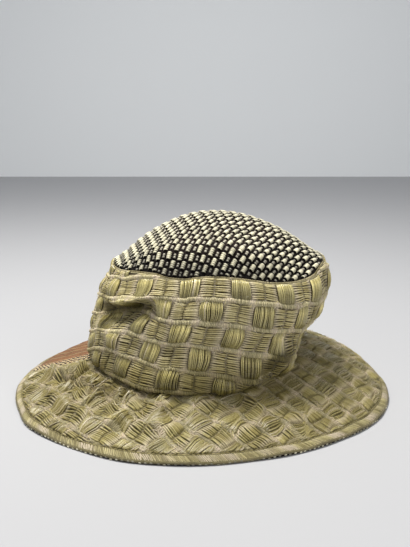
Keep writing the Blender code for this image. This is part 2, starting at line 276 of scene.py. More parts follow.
OLIVE_LIGHT = srgb(222, 209, 144)
OLIVE = srgb(168, 155, 98)
OLIVE_DARK = srgb(108, 97, 50)
OLIVE_SHADE = srgb(70, 60, 32)
CORD = srgb(206, 195, 152)
PINKISH = srgb(222, 206, 184)
CREAM = srgb(234, 227, 196)
DIM_CREAM = srgb(152, 146, 130)
BLACK = srgb(20, 14, 12)
TERRACOTTA = srgb(147, 103, 68)
TERRACOTTA_DARK = srgb(110, 76, 50)
TAN = srgb(174, 157, 112)


# ------------------------------------------------------------ curves

def monotone(xs, ys, x):
    xs, ys = np.asarray(xs, float), np.asarray(ys, float)
    d = np.diff(ys) / np.diff(xs)
    m = np.zeros(len(xs))
    same = d[:-1] * d[1:] > 0
    inner = m[1:-1]
    inner[same] = 2 * d[:-1][same] * d[1:][same] / (d[:-1][same] + d[1:][same])
    m[0], m[-1] = d[0], d[-1]
    x = np.clip(np.asarray(x, float), xs[0], xs[-1])
    i = np.clip(np.searchsorted(xs, x, side="right") - 1, 0, len(xs) - 2)
    h = xs[i + 1] - xs[i]
    t = (x - xs[i]) / h
    return ((2 * t ** 3 - 3 * t ** 2 + 1) * ys[i] + (t ** 3 - 2 * t ** 2 + t) * m[i] * h
            + (3 * t ** 2 - 2 * t ** 3) * ys[i + 1] + (t ** 3 - t ** 2) * m[i + 1] * h)


def column(rows, x, col, period=None):
    xs = np.array([row[0] for row in rows], float)
    ys = np.array([row[col] for row in rows], float)
    x = np.asarray(x, float)
    if period:
        x = (x - xs[0]) % period + xs[0]
        xs = np.concatenate([[xs[-1] - period], xs, [xs[0] + period, xs[1] + period]])
        ys = np.concatenate([[ys[-1]], ys, [ys[0], ys[1]]])
    return monotone(xs, ys, x)


def ease(x):
    x = np.clip(x, 0.0, 1.0)
    return x * x * (3 - 2 * x)


def bump(x, half):
    t = np.abs(x) / half / 1.6
    return np.where(t >= 1, 0.0, (1 - np.minimum(t, 1) ** 2) ** 2)


def angle_gap(a, b):
    return (a - b + 180.0) % 360.0 - 180.0


def hem_at(az):
    line = np.array(HEM_LINE)
    return np.interp((np.asarray(az, float) + 180.0) % 360.0 - 180.0, line[:, 0], line[:, 1])


def bearing(az):
    return np.sin(np.radians(az)), -np.cos(np.radians(az))


# ------------------------------------------------------------ surfaces

def brim_smooth(az, across):
    s, c = bearing(az)
    rim = column(BRIM_ROUND, az, 1, 360)
    top = column(BRIM_ROUND, az, 2, 360)
    x0, y0 = OPEN_SHIFT + OPEN_RADIUS * s, OPEN_RADIUS * c
    x = x0 + (rim * s - x0) * across
    y = y0 + (rim * c - y0) * across
    z = top + (RIM_HEIGHT - top) * column(BRIM_FALL, across, 1)
    z = z + column(BRIM_ROUND, az, 3, 360) * column(BRIM_FALL, across, 2)
    return x, y, z


def fold_height(x, y):
    total = 0.0 * x
    for name, x0, y0, x1, y1, half, height in BRIM_FOLDS:
        ux, uy = x1 - x0, y1 - y0
        length = math.hypot(ux, uy)
        along = ((x - x0) * ux + (y - y0) * uy) / length
        off = ((x - x0) * uy - (y - y0) * ux) / length
        over = np.maximum(np.maximum(-along, along - length), 0.0)
        total = total + height * bump(off, half) * bump(over, half)
    return total


def plan_to_brim(x, y):
    """Azimuth and across of the brim at a point in plan (rim circle's centre)."""
    x, y = np.asarray(x, float), np.asarray(y, float)
    want = np.degrees(np.arctan2(x, -y))
    r = np.hypot(x, y)
    az = want.copy()
    across = np.clip((r - 0.09) / 0.078, -0.1, 1.1)
    for turn in range(5):
        px, py, pz = brim_smooth(az, across)
        reach = column(BRIM_ROUND, az, 1, 360) - OPEN_RADIUS
        across = across + (r - np.hypot(px, py)) / reach
        az = az + angle_gap(want, np.degrees(np.arctan2(px, -py)))
    return az, across


def crumple(x, y, seed, waves, size):
    """Smooth irregular field of about +-1 from a sum of plane waves."""
    rng = np.random.default_rng(seed)
    total = 0.0 * x
    for k in range(waves):
        turn = rng.uniform(0, math.pi)
        length = size * rng.uniform(0.65, 1.5)
        phase = rng.uniform(0, 2 * math.pi)
        total = total + np.sin((x * math.cos(turn) + y * math.sin(turn))
                               * 2 * math.pi / length + phase)
    return total / math.sqrt(waves)


DEEPER_FOLDS = (
    # name, azimuth, level, half_azimuth, half_level, depth, climb_per_degree
    ("hollow_under_lip", -46, 0.640, 11, 0.045, -0.0050, 0.0042),
    ("hollow_to_the_left", -60, 0.600, 8, 0.050, -0.0040, 0.0020),
    ("lip", -42, 0.745, 12, 0.028, 0.0022, 0.0050),
    ("small_pit", -57, 0.500, 5, 0.040, -0.0035, 0.0),
    ("swelling_below", -50, 0.420, 9, 0.060, 0.0020, 0.0),
    ("front_roll", -16, 0.300, 26, 0.050, 0.0016, 0.0),
    ("right_tuck", 40, 0.400, 10, 0.040, -0.0016, -0.004),
)


def wall_grid(az, level, folded=True):
    """az (n, 1) and level (1, m) give (n, m, 3)."""
    s, c = bearing(az)
    overhang = column(FOOT_ROLL, az, 1, 360)
    lift = column(FOOT_ROLL, az, 2, 360)
    low = level[:, level[0] < FOOT_LEVEL]
    foot_levels = np.concatenate([low, [[FOOT_LEVEL]]], axis=1)
    u = foot_levels / FOOT_LEVEL * math.pi / 2
    foot_r = OPEN_RADIUS + (overhang + FOOT_ROUND) * np.sin(u)
    fx, fy = OPEN_SHIFT + foot_r * s, foot_r * c
    a, t = plan_to_brim(fx, fy)
    base = brim_smooth(a, np.clip(t, 0, 1))[2] + fold_height(fx, fy)
    foot_h = base + FOOT_CLEAR + (FOOT_RISE + lift) * (1 - np.cos(u))
    n = low.shape[1]
    high = level[:, n:]
    top_r, top_h = foot_r[:, -1:], foot_h[:, -1:]
    h = column(CROWN_RINGS, high, 1) + 0 * az
    r = column(CROWN_RINGS, high, 2) + 0 * az
    cx, cy = column(CROWN_RINGS, high, 3), column(CROWN_RINGS, high, 4)
    r = r + ((top_r - column(CROWN_RINGS, FOOT_LEVEL, 2))
             * (1 - ease((high - FOOT_LEVEL) / 0.24)))
    h = h + ((top_h - column(CROWN_RINGS, FOOT_LEVEL, 1))
             * (1 - ease((high - FOOT_LEVEL) / 0.40)))
    h = h + column(SEAM_WAVE, az, 1, 360) * np.maximum(0.0, (high - 0.45) / 0.55) ** 1.5
    for name, at_az, at_level, half_az, half_level, depth, climb in WALL_FOLDS + DEEPER_FOLDS:
        if not folded:
            break
        off = angle_gap(az, at_az)
        r = r + depth * bump(off, half_az) * bump(high - at_level - climb * off, half_level)
    x = np.concatenate([fx[:, :n], cx + r * s], axis=1)
    y = np.concatenate([fy[:, :n], cy + r * c], axis=1)
    z = np.concatenate([foot_h[:, :n], h], axis=1)
    return np.stack([x, y, z], axis=2)


def tip_grid(az, across, seam):
    x0, y0, z0 = seam[:, 0:1], seam[:, 1:2], seam[:, 2:3] + CLOTH + GAP
    x = x0 + (APEX[0] - x0) * across
    y = y0 + (APEX[1] - y0) * across
    rise = column(TIP_DOME, across, 1) + 0 * az
    for i in range(len(az)):
        strength = float(column(TIP_FACET, az[i, 0], 3, 360))
        if strength <= 0:
            continue
        a = float(column(TIP_FACET, az[i, 0], 1, 360))
        b = float(column(TIP_FACET, az[i, 0], 2, 360))
        xs = (0.0, a * 0.45, a * 0.88, a * 1.18, (a + 1) / 2, 0.88, 1.0)
        ys = (0.0, b * 0.42, b * 0.90, b + (1 - b) * 0.06, b + (1 - b) * 0.70,
              b + (1 - b) * 0.985, 1.0)
        rise[i] += (monotone(xs, ys, across[0]) - rise[i]) * strength
    return np.stack([x, y, z0 + (APEX[2] - z0) * rise], axis=2)


FINE_FOLDS = (
    # name, half_width_mm, height_mm, ((azimuth, across), ...)
    ("pinch_crest", 2.6, 5.6, ((-81, 0.57), (-74, 0.46), (-67, 0.37), (-68, 0.22))),
    ("pinch_crevice", 2.4, -2.7, ((-73, 0.52), (-65, 0.40), (-62, 0.30), (-64, 0.18))),
    ("second_crest", 2.4, 4.8, ((-64, 0.50), (-58, 0.38), (-60, 0.24))),
    ("hollow_a", 3.2, -2.8, ((-56, 0.30), (-54, 0.36))),
    ("crest_a", 2.3, 4.2, ((-53, 0.50), (-50, 0.38), (-51, 0.26))),
    ("hollow_b", 3.0, -2.6, ((-47, 0.31), (-46, 0.38))),
    ("crest_b", 2.3, 4.2, ((-44, 0.54), (-42, 0.42), (-43, 0.28))),
    ("hollow_c", 3.0, -2.4, ((-39, 0.36), (-38, 0.43))),
    ("crest_c", 2.4, 4.0, ((-34, 0.52), (-33, 0.40), (-34, 0.24))),
    ("gather_d", 2.2, 3.0, ((-30, 0.18), (-29, 0.34))),
    ("hollow_d", 2.8, -2.0, ((-24, 0.26), (-23, 0.40))),
    ("gather_e", 2.4, 3.2, ((-15, 0.22), (-13, 0.40))),
    ("hollow_e", 2.6, -1.6, ((-9, 0.26), (-8, 0.40))),
    ("gather_f", 2.6, 1.6, ((-3, 0.24), (-1, 0.40))),
    ("gather_g", 2.4, 3.2, ((21, 0.28), (24, 0.46))),
    ("hollow_g", 2.6, -1.8, ((16, 0.28), (18, 0.42))),
    ("gather_h", 2.6, 1.6, ((34, 0.20), (38, 0.36))),
    ("wave_left", 3.6, 2.6, ((-70, 0.62), (-58, 0.66), (-44, 0.63))),
    ("wave_left_low", 4.5, -1.4, ((-72, 0.72), (-58, 0.76), (-44, 0.74))),
    ("wave_front", 3.8, 2.2, ((-30, 0.60), (-18, 0.63), (-6, 0.60))),
    ("wave_front_low", 4.5, -1.2, ((-32, 0.72), (-18, 0.75), (-4, 0.73))),
    ("wave_right", 4.2, 1.8, ((8, 0.62), (22, 0.66), (36, 0.64))),
    ("rim_dip", 5.0, -1.2, ((-64, 0.84), (-50, 0.86))),
)


def fine_folds(x, y):
    total = 0.0 * x
    for name, half, height, path in FINE_FOLDS:
        near = np.full(x.shape, 1.0)
        ends = [brim_smooth(np.array([float(a)]), np.array([t])) for a, t in path]
        for p, q in zip(ends[:-1], ends[1:]):
            x0, y0, x1, y1 = p[0][0], p[1][0], q[0][0], q[1][0]
            ux, uy = x1 - x0, y1 - y0
            k = np.clip(((x - x0) * ux + (y - y0) * uy) / (ux * ux + uy * uy), 0, 1)
            near = np.minimum(near, np.hypot(x - x0 - k * ux, y - y0 - k * uy))
        total = total + height * MM * bump(near, half * MM)
    return total


class Skin:
    """A surface sampled finely: points and outward normals at (azimuth, v)."""

    def __init__(self, grid, flip, start=-180.0, closed=True, step=0.5):
        self.start, self.step, self.closed = start, step, closed
        grid = grid.copy()
        grid[..., 0] -= MIDDLE_X
        grid[..., 1] -= MIDDLE_Y
        if closed:
            wide = np.concatenate([grid[-1:], grid, grid[:1]])
            da = (wide[2:] - wide[:-2]) / 2
        else:
            da = np.gradient(grid, axis=0)
        dv = np.gradient(grid, axis=1)
        normal = np.cross(da, dv) * (-1 if flip else 1)
        size = np.linalg.norm(normal, axis=2, keepdims=True)
        normal = normal / np.maximum(size, 1e-12)
        if np.linalg.norm(da[:, -1], axis=1).max() < 1e-7:     # a pole
            mean = normal[:, -3].mean(0)
            for j in (-1, -2):
                normal[:, j] = mean / np.linalg.norm(mean)
        self.points, self.normals = grid, normal
        self.n, self.m = grid.shape[:2]

    def at(self, az, v, height=0.0):
        a = (np.asarray(az, float) - self.start) / self.step
        if self.closed:
            a = a % self.n
            i = np.floor(a).astype(int) % self.n
            i1 = (i + 1) % self.n
        else:
            a = np.clip(a, 0, self.n - 1.001)
            i = np.floor(a).astype(int)
            i1 = i + 1
        fa = (a - np.floor(a))[..., None]
        w = np.clip(np.asarray(v, float), 0, 1) * (self.m - 1)
        j = np.clip(np.floor(w).astype(int), 0, self.m - 2)
        fv = (w - j)[..., None]

        def blend(g):
            return ((g[i, j] * (1 - fa) + g[i1, j] * fa) * (1 - fv)
                    + (g[i, j + 1] * (1 - fa) + g[i1, j + 1] * fa) * fv)
        normal = blend(self.normals)
        normal = normal / np.maximum(np.linalg.norm(normal, axis=-1, keepdims=True), 1e-9)
        return blend(self.points) + normal * np.asarray(height)[..., None], normal


def arc_table(points, from_top):
    """Arc length along v from one end, and level by share of the arc."""
    steps = np.linalg.norm(np.diff(points, axis=1), axis=2)
    if from_top:
        steps = steps[:, ::-1]
    run = np.concatenate([np.zeros((len(points), 1)), np.cumsum(steps, axis=1)], axis=1)
    total = run[:, -1]
    share = np.linspace(0, 1, 241)
    levels = np.linspace(0, 1, points.shape[1])
    if from_top:
        levels = levels[::-1]
    inverse = np.array([np.interp(share * total[i], run[i], levels)
                        for i in range(len(points))])
    return run, total, inverse


def look_up(table, az, share, closed=True):
    n, m = table.shape
    a = ((np.asarray(az, float) + 180.0) / 0.5) % n
    i = np.floor(a).astype(int) % n
    i1 = (i + 1) % n
    fa = a - np.floor(a)
    w = np.clip(share, 0, 1) * (m - 1)
    j = np.clip(np.floor(w).astype(int), 0, m - 2)
    fv = w - j
    return ((table[i, j] * (1 - fa) + table[i1, j] * fa) * (1 - fv)
            + (table[i, j + 1] * (1 - fa) + table[i1, j + 1] * fa) * fv)


def round_value(values, az):
    a = ((np.asarray(az, float) + 180.0) / 0.5) % len(values)
    i = np.floor(a).astype(int) % len(values)
    f = a - np.floor(a)
    return values[i] * (1 - f) + values[(i + 1) % len(values)] * f


AZ = np.arange(-180.0, 180.0, 0.5)[:, None]

wall_points = wall_grid(AZ, np.linspace(0, 1, 181)[None, :])
seam_line = wall_points[:, -1].copy()
soft = crumple(AZ * 1.75 * MM + 0 * wall_points[..., 2], wall_points[..., 2], 7, 9, 0.030)
outward = np.stack([np.sin(np.radians(AZ)), -np.cos(np.radians(AZ)), 0 * AZ], axis=2)
calm = (ease(np.linspace(0, 1, 181) / 0.2) * ease((1 - np.linspace(0, 1, 181)) / 0.12))[None, :, None]
wall_points = wall_points + outward * soft[..., None] * 0.0007 * calm
wall = Skin(wall_points, flip=False)
# the strands stand proud of the cloth, so the cloth itself lies a little deeper
wall.points = wall.points - wall.normals * ((0.8 + 0.8 * ease(np.linspace(0, 1, 181) / 0.25))
                                            * MM)[None, :, None]
# the weave's rows are laid out on the wall as it is without its folds
wall_run, wall_total, wall_inverse = arc_table(
    wall_grid(AZ, np.linspace(0, 1, 181)[None, :], folded=False), from_top=True)

tip_points = tip_grid(AZ, np.linspace(0, 1, 141)[None, :], seam_line)
tip_skin = Skin(tip_points, flip=False)
tip_skin.points = tip_skin.points - tip_skin.normals * 1.2 * MM
tip_run, tip_total, tip_inverse = arc_table(tip_skin.points, from_top=True)

ACROSS = np.linspace(0, 1, 141)[None, :]
bx, by, bz = brim_smooth(AZ, ACROSS)
hem_calm = 1 - ease((ACROSS - 0.80) / 0.15)
plain_brim = np.stack([bx, by, bz], axis=2)
rumpled = (bump(angle_gap(AZ, -52), 26) * bump(ACROSS - 0.36, 0.24) * 1.0
           + bump(angle_gap(AZ, -8), 34) * bump(ACROSS - 0.30, 0.2) * 0.45 + 0.16)
fine = fine_folds(bx, by) + crumple(bx, by, 11, 8, 0.017) * 0.0013 * rumpled * ease(ACROSS / 0.15)
# no fine fold reaches down to the cloth below
fine = np.where(fine < 0, -0.0010 * np.tanh(-fine / 0.0010), fine)
bz = bz + (fold_height(bx, by) + fine) * hem_calm
# the rim waves a little and its turned edge is rounded
bz = bz + 0.0006 * crumple(bx, by, 5, 5, 0.05) * ease((ACROSS - 0.7) / 0.2)
brim = Skin(np.stack([bx, by, bz], axis=2), flip=True)
brim.points = brim.points - brim.normals * 0.3 * MM
under_base = Skin(plain_brim, flip=True)


# ------------------------------------------------------------ mesh making

made = []


def mesh_object(name, verts, faces, materials, tone=None, weave=None, index=None, smooth=True):
    """faces is a list of (n, k) arrays of vertex numbers."""
    mesh = bpy.data.meshes.new(name)
    faces = [np.asarray(f, int) for f in faces if len(f)]
    loops = np.concatenate([f.ravel() for f in faces])
    sizes = np.concatenate([np.full(len(f), f.shape[1]) for f in faces])
    starts = np.concatenate([[0], np.cumsum(sizes)[:-1]])
    mesh.vertices.add(len(verts))
    mesh.vertices.foreach_set("co", np.asarray(verts, np.float32).ravel())
    mesh.loops.add(len(loops))
    mesh.loops.foreach_set("vertex_index", loops.astype(np.int32))
    mesh.polygons.add(len(sizes))
    mesh.polygons.foreach_set("loop_start", starts.astype(np.int32))
    if index is not None:
        mesh.polygons.foreach_set("material_index", np.asarray(index, np.int32))
    if tone is not None:
        layer = mesh.color_attributes.new("tone", "FLOAT_COLOR", "POINT")
        rgba = np.ones((len(verts), 4), np.float32)
        rgba[:, :3] = tone
        layer.data.foreach_set("color", rgba.ravel())
    if weave is not None:
        layer = mesh.attributes.new("weave", "FLOAT_VECTOR", "POINT")
        xyz = np.zeros((len(verts), 3), np.float32)
        xyz[:, :weave.shape[1]] = weave
        layer.data.foreach_set("vector", xyz.ravel())
    mesh.update(calc_edges=True)
    mesh.validate()
    if smooth:
        mesh.shade_smooth()
    for mat in materials:
        mesh.materials.append(mat)
    piece = bpy.data.objects.new(name, mesh)
    bpy.context.scene.collection.objects.link(piece)
    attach(piece, "root")
    made.append(piece)
    return piece


def grid_faces(n, m, closed, flip=False, base=0):
    i = np.arange(n if closed else n - 1)[:, None]
    j = np.arange(m - 1)[None, :]
    i1 = (i + 1) % n
    f = np.stack([i * m + j, i1 * m + j, i1 * m + j + 1, i * m + j + 1], axis=2).reshape(-1, 4)
    if flip:
        f = f[:, ::-1]
    return f + base


def unit(v):
    return v / np.maximum(np.linalg.norm(v, axis=-1, keepdims=True), 1e-9)


def tube_mesh(path, normal, half_w, half_h, sides, tone, taper=0.55, caps=True):
    """Flattened strands: path and normal (S, K, 3); half sizes broadcast to (S, K)."""
    S, K = path.shape[:2]
    tangent = np.gradient(path, axis=1)
    chord = path[:, -1:] - path[:, :1]
    tangent = unit(tangent + 1e-4 * chord)
    side = unit(np.cross(tangent, normal))
    up = unit(np.cross(side, tangent))
    ends = np.ones(K)
    ends[0] = ends[-1] = taper
    hw = np.broadcast_to(half_w, (S, K)) * ends
    hh = np.broadcast_to(half_h, (S, K)) * ends
    turn = 2 * math.pi * (np.arange(sides) + 0.5) / sides + math.pi / 2
    ring = (path[:, :, None] + side[:, :, None] * (np.cos(turn) * hw[..., None])[..., None]
            + up[:, :, None] * (np.sin(turn) * hh[..., None])[..., None])
    verts = ring.reshape(-1, 3)
    s = np.arange(S)[:, None, None] * K * sides
    k = np.arange(K - 1)[None, :, None] * sides
    a = np.arange(sides)[None, None, :]
    a1 = (a + 1) % sides
    quads = np.stack([s + k + a, s + k + sides + a, s + k + sides + a1, s + k + a1],
                     axis=3).reshape(-1, 4)
    faces = [quads]
    if caps:
        first = (np.arange(S)[:, None] * K * sides + np.arange(sides)[None, :])
        last = first + (K - 1) * sides
        faces.append(np.concatenate([first, last[:, ::-1]]))
    colours = np.broadcast_to(tone, (S, K, 3))
    colours = np.repeat(colours[:, :, None], sides, axis=2).reshape(-1, 3)
    return verts, faces, colours


def join(parts):
    """Join (verts, faces, tone) parts into one."""
    verts, tones, by_size, base = [], [], {}, 0
    for v, faces, tone in parts:
        for f in faces:
            by_size.setdefault(f.shape[1], []).append(f + base)
        verts.append(v)
        tones.append(tone)
        base += len(v)
    return (np.concatenate(verts), [np.concatenate(by_size[k]) for k in sorted(by_size)],
            np.concatenate(tones))


# ------------------------------------------------------------ materials

def node(tree, kind, **values):
    made_node = tree.nodes.new(kind)
    for key, value in values.items():
        if key.startswith("in_"):
            made_node.inputs[int(key[3:])].default_value = value
        else:
            setattr(made_node, key, value)
    return made_node


def straw_material(name, rough, vary=0.16, fine=900.0, bump_size=0.00015, bump_strength=0.5,
                   weave_pitch=None, weave_depth=0.0003, sheen=0.0, spec=0.42, tint=None):
    mat = bpy.data.materials.new(name)
    mat.use_nodes = True
    tree = mat.node_tree
    shader = tree.nodes["Principled BSDF"]
    shader.inputs["Metallic"].default_value = 0.0
    shader.inputs["Specular IOR Level"].default_value = spec
    if sheen:
        shader.inputs["Sheen Weight"].default_value = sheen
        shader.inputs["Sheen Roughness"].default_value = 0.5
        shader.inputs["Sheen Tint"].default_value = (*tint, 1.0) if tint is not None else (1, 1, 1, 1)
    link = tree.links.new
    tone = node(tree, "ShaderNodeAttribute", attribute_name="tone")
    where = node(tree, "ShaderNodeTexCoord")
    grain = node(tree, "ShaderNodeTexNoise")
    grain.inputs["Scale"].default_value = fine
    grain.inputs["Detail"].default_value = 4.0
    link(where.outputs["Object"], grain.inputs["Vector"])
    broad = node(tree, "ShaderNodeTexNoise")
    broad.inputs["Scale"].default_value = 60.0
    broad.inputs["Detail"].default_value = 3.0
    link(where.outputs["Object"], broad.inputs["Vector"])
    fade = node(tree, "ShaderNodeMapRange")
    fade.inputs["From Min"].default_value = 0.3
    fade.inputs["From Max"].default_value = 0.7
    fade.inputs["To Min"].default_value = 1 - vary
    fade.inputs["To Max"].default_value = 1 + vary
    link(grain.outputs["Fac"], fade.inputs["Value"])
    patch = node(tree, "ShaderNodeMapRange")
    patch.inputs["From Min"].default_value = 0.3
    patch.inputs["From Max"].default_value = 0.7
    patch.inputs["To Min"].default_value = 1 - vary * 0.6
    patch.inputs["To Max"].default_value = 1 + vary * 0.6
    link(broad.outputs["Fac"], patch.inputs["Value"])
    both = node(tree, "ShaderNodeMath", operation="MULTIPLY")
    link(fade.outputs["Result"], both.inputs[0])
    link(patch.outputs["Result"], both.inputs[1])
    scale = node(tree, "ShaderNodeVectorMath", operation="SCALE")
    link(tone.outputs["Color"], scale.inputs[0])
    link(both.outputs["Value"], scale.inputs["Scale"])
    link(scale.outputs["Vector"], shader.inputs["Base Color"])
    gloss = node(tree, "ShaderNodeMapRange")
    gloss.inputs["From Min"].default_value = 0.3
    gloss.inputs["From Max"].default_value = 0.7
    gloss.inputs["To Min"].default_value = rough - 0.08
    gloss.inputs["To Max"].default_value = rough + 0.10
    link(grain.outputs["Fac"], gloss.inputs["Value"])
    link(gloss.outputs["Result"], shader.inputs["Roughness"])
    relief = grain.outputs["Fac"]
    if weave_pitch:
        spot = node(tree, "ShaderNodeAttribute", attribute_name="weave")
        split = node(tree, "ShaderNodeSeparateXYZ")
        link(spot.outputs["Vector"], split.inputs[0])
        waves = []
        for axis in (0, 1):
            turn = node(tree, "ShaderNodeMath", operation="MULTIPLY")
            turn.inputs[1].default_value = math.pi / weave_pitch
            link(split.outputs[axis], turn.inputs[0])
            wave = node(tree, "ShaderNodeMath", operation="SINE")
            link(turn.outputs[0], wave.inputs[0])
            waves.append(wave)
        cross = node(tree, "ShaderNodeMath", operation="MULTIPLY")
        link(waves[0].outputs[0], cross.inputs[0])
        link(waves[1].outputs[0], cross.inputs[1])
        weave_bump = node(tree, "ShaderNodeBump")
        weave_bump.inputs["Strength"].default_value = 0.8
        weave_bump.inputs["Distance"].default_value = weave_depth
        link(cross.outputs[0], weave_bump.inputs["Height"])
        fuzz = node(tree, "ShaderNodeBump")
        fuzz.inputs["Strength"].default_value = bump_strength
        fuzz.inputs["Distance"].default_value = bump_size
        link(relief, fuzz.inputs["Height"])
        link(weave_bump.outputs["Normal"], fuzz.inputs["Normal"])
        link(fuzz.outputs["Normal"], shader.inputs["Normal"])
    else:
        fuzz = node(tree, "ShaderNodeBump")
        fuzz.inputs["Strength"].default_value = bump_strength
        fuzz.inputs["Distance"].default_value = bump_size
        link(relief, fuzz.inputs["Height"])
        link(fuzz.outputs["Normal"], shader.inputs["Normal"])
    return mat


float_mat = straw_material("raffia_floats", 0.30, vary=0.12, spec=0.8)
cross_mat = straw_material("raffia_cross_strands", 0.50, vary=0.16)
cloth_mat = straw_material("raffia_plain_weave", 0.68, vary=0.22, weave_pitch=0.95,
                           weave_depth=0.0004, sheen=0.25, tint=srgb(240, 225, 200))
cord_mat = straw_material("raffia_cords", 0.62, vary=0.20, sheen=0.2, tint=srgb(240, 225, 200))
inside_mat = straw_material("raffia_reverse", 0.66, vary=0.22, weave_pitch=1.3,
                            weave_depth=0.0005)
tile_mat = straw_material("straw_tiles", 0.38, vary=0.12, spec=0.5)
black_mat = straw_material("black_ground", 0.78, vary=0.35, weave_pitch=1.1, weave_depth=0.0004,
                           spec=0.12)
panel_mat = straw_material("terracotta_ribs", 0.62, vary=0.22, weave_pitch=0.8,
                           weave_depth=0.0003)
thread_mat = straw_material("stitching", 0.5, vary=0.1)


# ------------------------------------------------------------ side wall weave

def wall_rows(c, n):
    """Arc from the upper seam, mm, of lattice row n at lattice column c degrees."""
    lean = np.sin(np.radians(c)) * ease((130 - np.abs(angle_gap(c, 0))) / 70)
    return ((n + 0.1122 - 0.2091 * np.sin(np.radians(c)) - 0.7508 * np.cos(np.radians(c)))
            / (0.0469 - 0.0103 * lean))


def wall_marks():
    shifts = []
    for row, c, az, height in WEAVE_MARKS:
        i = int(round((az + 180) / 0.5)) % 720
        z = wall.points[i, :, 2]
        j = int(np.argmin(np.abs(z[25:] - height * MM))) + 25
        arc = wall_run[i, len(z) - 1 - j] / MM
        shifts.append((c, row, az - c, arc - float(wall_rows(float(c), float(row)))))
    return np.array(shifts)


MARKS = wall_marks()


def stray(u, w, seed, size):
    """Two smooth fields by which a weave strays from its even lattice."""
    return crumple(u, w, seed, 5, size), crumple(u, w, seed + 1, 5, size)


def wall_lattice(c, n):
    """Azimuth and arc (mm) of a lattice position on the side wall."""
    c, n = np.asarray(c, float), np.asarray(n, float)
    a, b = stray(c * 1.75, n * PITCH, 60, 23.0)
    calm_side = ease((170 - np.abs(angle_gap(c, 0))) / 15)
    c, n = c + 0.38 * a * calm_side, n + 0.034 * b * calm_side
    arc = wall_rows(c, n)
    weight, da, ds = 0.25, 0.0, 0.0
    for mc, mn, sa, ss in MARKS:
        w = np.exp(-(angle_gap(c, mc) / 17.0) ** 2 - ((n - mn) / 0.9) ** 2)
        weight = weight + w
        da = da + w * sa
        ds = ds + w * ss
    return c + da / weight, arc + ds / weight


def wall_lattice_back(az, arc):
    """Lattice position of a place on the wall."""
    c, n = az + 0.0, (arc * 0.0469 - 0.1122 + 0.2091 * np.sin(np.radians(az))
                      + 0.7508 * np.cos(np.radians(az)))
    for turn in range(7):
        a, s = wall_lattice(c, n)
        c = c + (az - a)
        n = n + (arc - s) * 0.050
    return c, n


def wall_place(c, n, height):
    az, arc = wall_lattice(c, n)
    total = round_value(wall_total, az) / MM
    share = arc / total
    level = look_up(wall_inverse, az, share)
    point, normal = wall.at(az, level, height)
    return point, normal, share, az


def weave_relief(u, w):
    """Relief (mm) and colour of the ground cloth at a lattice position in mm."""
    row = np.round(w / PITCH)
    dw = w - row * PITCH
    shift = np.where(row % 2 != 0, 0.0, PERIOD / 2)
    du = (u - shift + PERIOD / 2) % PERIOD - PERIOD / 2
    au, aw = np.abs(du), np.abs(dw)
    cord = np.clip(1 - ((PITCH / 2 - aw) / (CORD_HALF + 0.5)) ** 2, 0, 1)
    strip = np.clip(1 - ((au - (BLOCK_HALF + STRIP_END) / 2)
                         / ((STRIP_END - BLOCK_HALF) / 2 + 0.4)) ** 2, 0, 1)
    corner = np.exp(-((au - 10.2) / 3.2) ** 2 - ((aw - 8.6) / 3.0) ** 2)
    middle = np.clip(1 - ((au - PERIOD / 2) / 1.3) ** 2, 0, 1) * (1 - cord)
    height = -0.55 + 1.30 * cord ** 0.6 + 0.40 * strip ** 0.7 * (1 - cord) + 0.45 * middle
    # the ground is dark olive, and a darker cord colour under the cords: painted shade in the gaps between the strands
    # and the ribs
    tone = OLIVE_SHADE * 1.35 + 0 * u[..., None]
    k = np.clip(middle * 1.2, 0, 1)[..., None]
    tone = tone * (1 - k) + (0.5 * PINKISH + 0.5 * CORD) * 0.5 * k
    k = np.clip(strip * 1.1, 0, 1)[..., None]
    tone = tone * (1 - k) + (0.5 * PINKISH + 0.5 * CORD) * 0.50 * k
    k = np.clip(cord * 1.5, 0, 1)[..., None]
    tone = tone * (1 - k) + CORD * 0.66 * k
    k = np.clip(corner * 0.9, 0, 1)[..., None]
    tone = tone * (1 - k) + PINKISH * 0.90 * k
    return height, tone, du, dw


def foot_painted_shade(points):
    """Painted shade: the cloth is darker and browner in its hollows and where it curls under at the foot."""
    x, y, z = points[..., 0], points[..., 1], points[..., 2]
    az = np.degrees(np.arctan2(x, -y))
    low = 1 - ease((z - 0.036) / 0.026)
    deep = 0.85 * low * (0.35 + 0.65 * bump(angle_gap(az, 5), 75))
    pit = np.zeros_like(az)
    for at_az, at_z, half_az, half_z, slope in HOLLOW_SHADE:
        pit = np.maximum(pit, bump(angle_gap(az, at_az), half_az)
                         * bump(z / MM - at_z - slope * (az - at_az), half_z))
    deep = np.clip(deep + pit * 1.15, 0, 1)
    return (1 - 0.72 * deep)[..., None] * (1 - deep[..., None] * np.array([0.0, 0.06, 0.46]))


HOLLOW_SHADE = (
    # azimuth, height_mm, half_azimuth, half_height_mm, rise_per_degree
    (-47, 90.5, 13, 5.0, 0.35),
    (-59, 87.0, 8, 6.0, 0.10),
    (-57, 76.0, 5, 5.0, 0.0),
    (-66, 98.0, 6, 4.0, 0.0),
    (38, 52.0, 9, 5.0, 0.30),
)


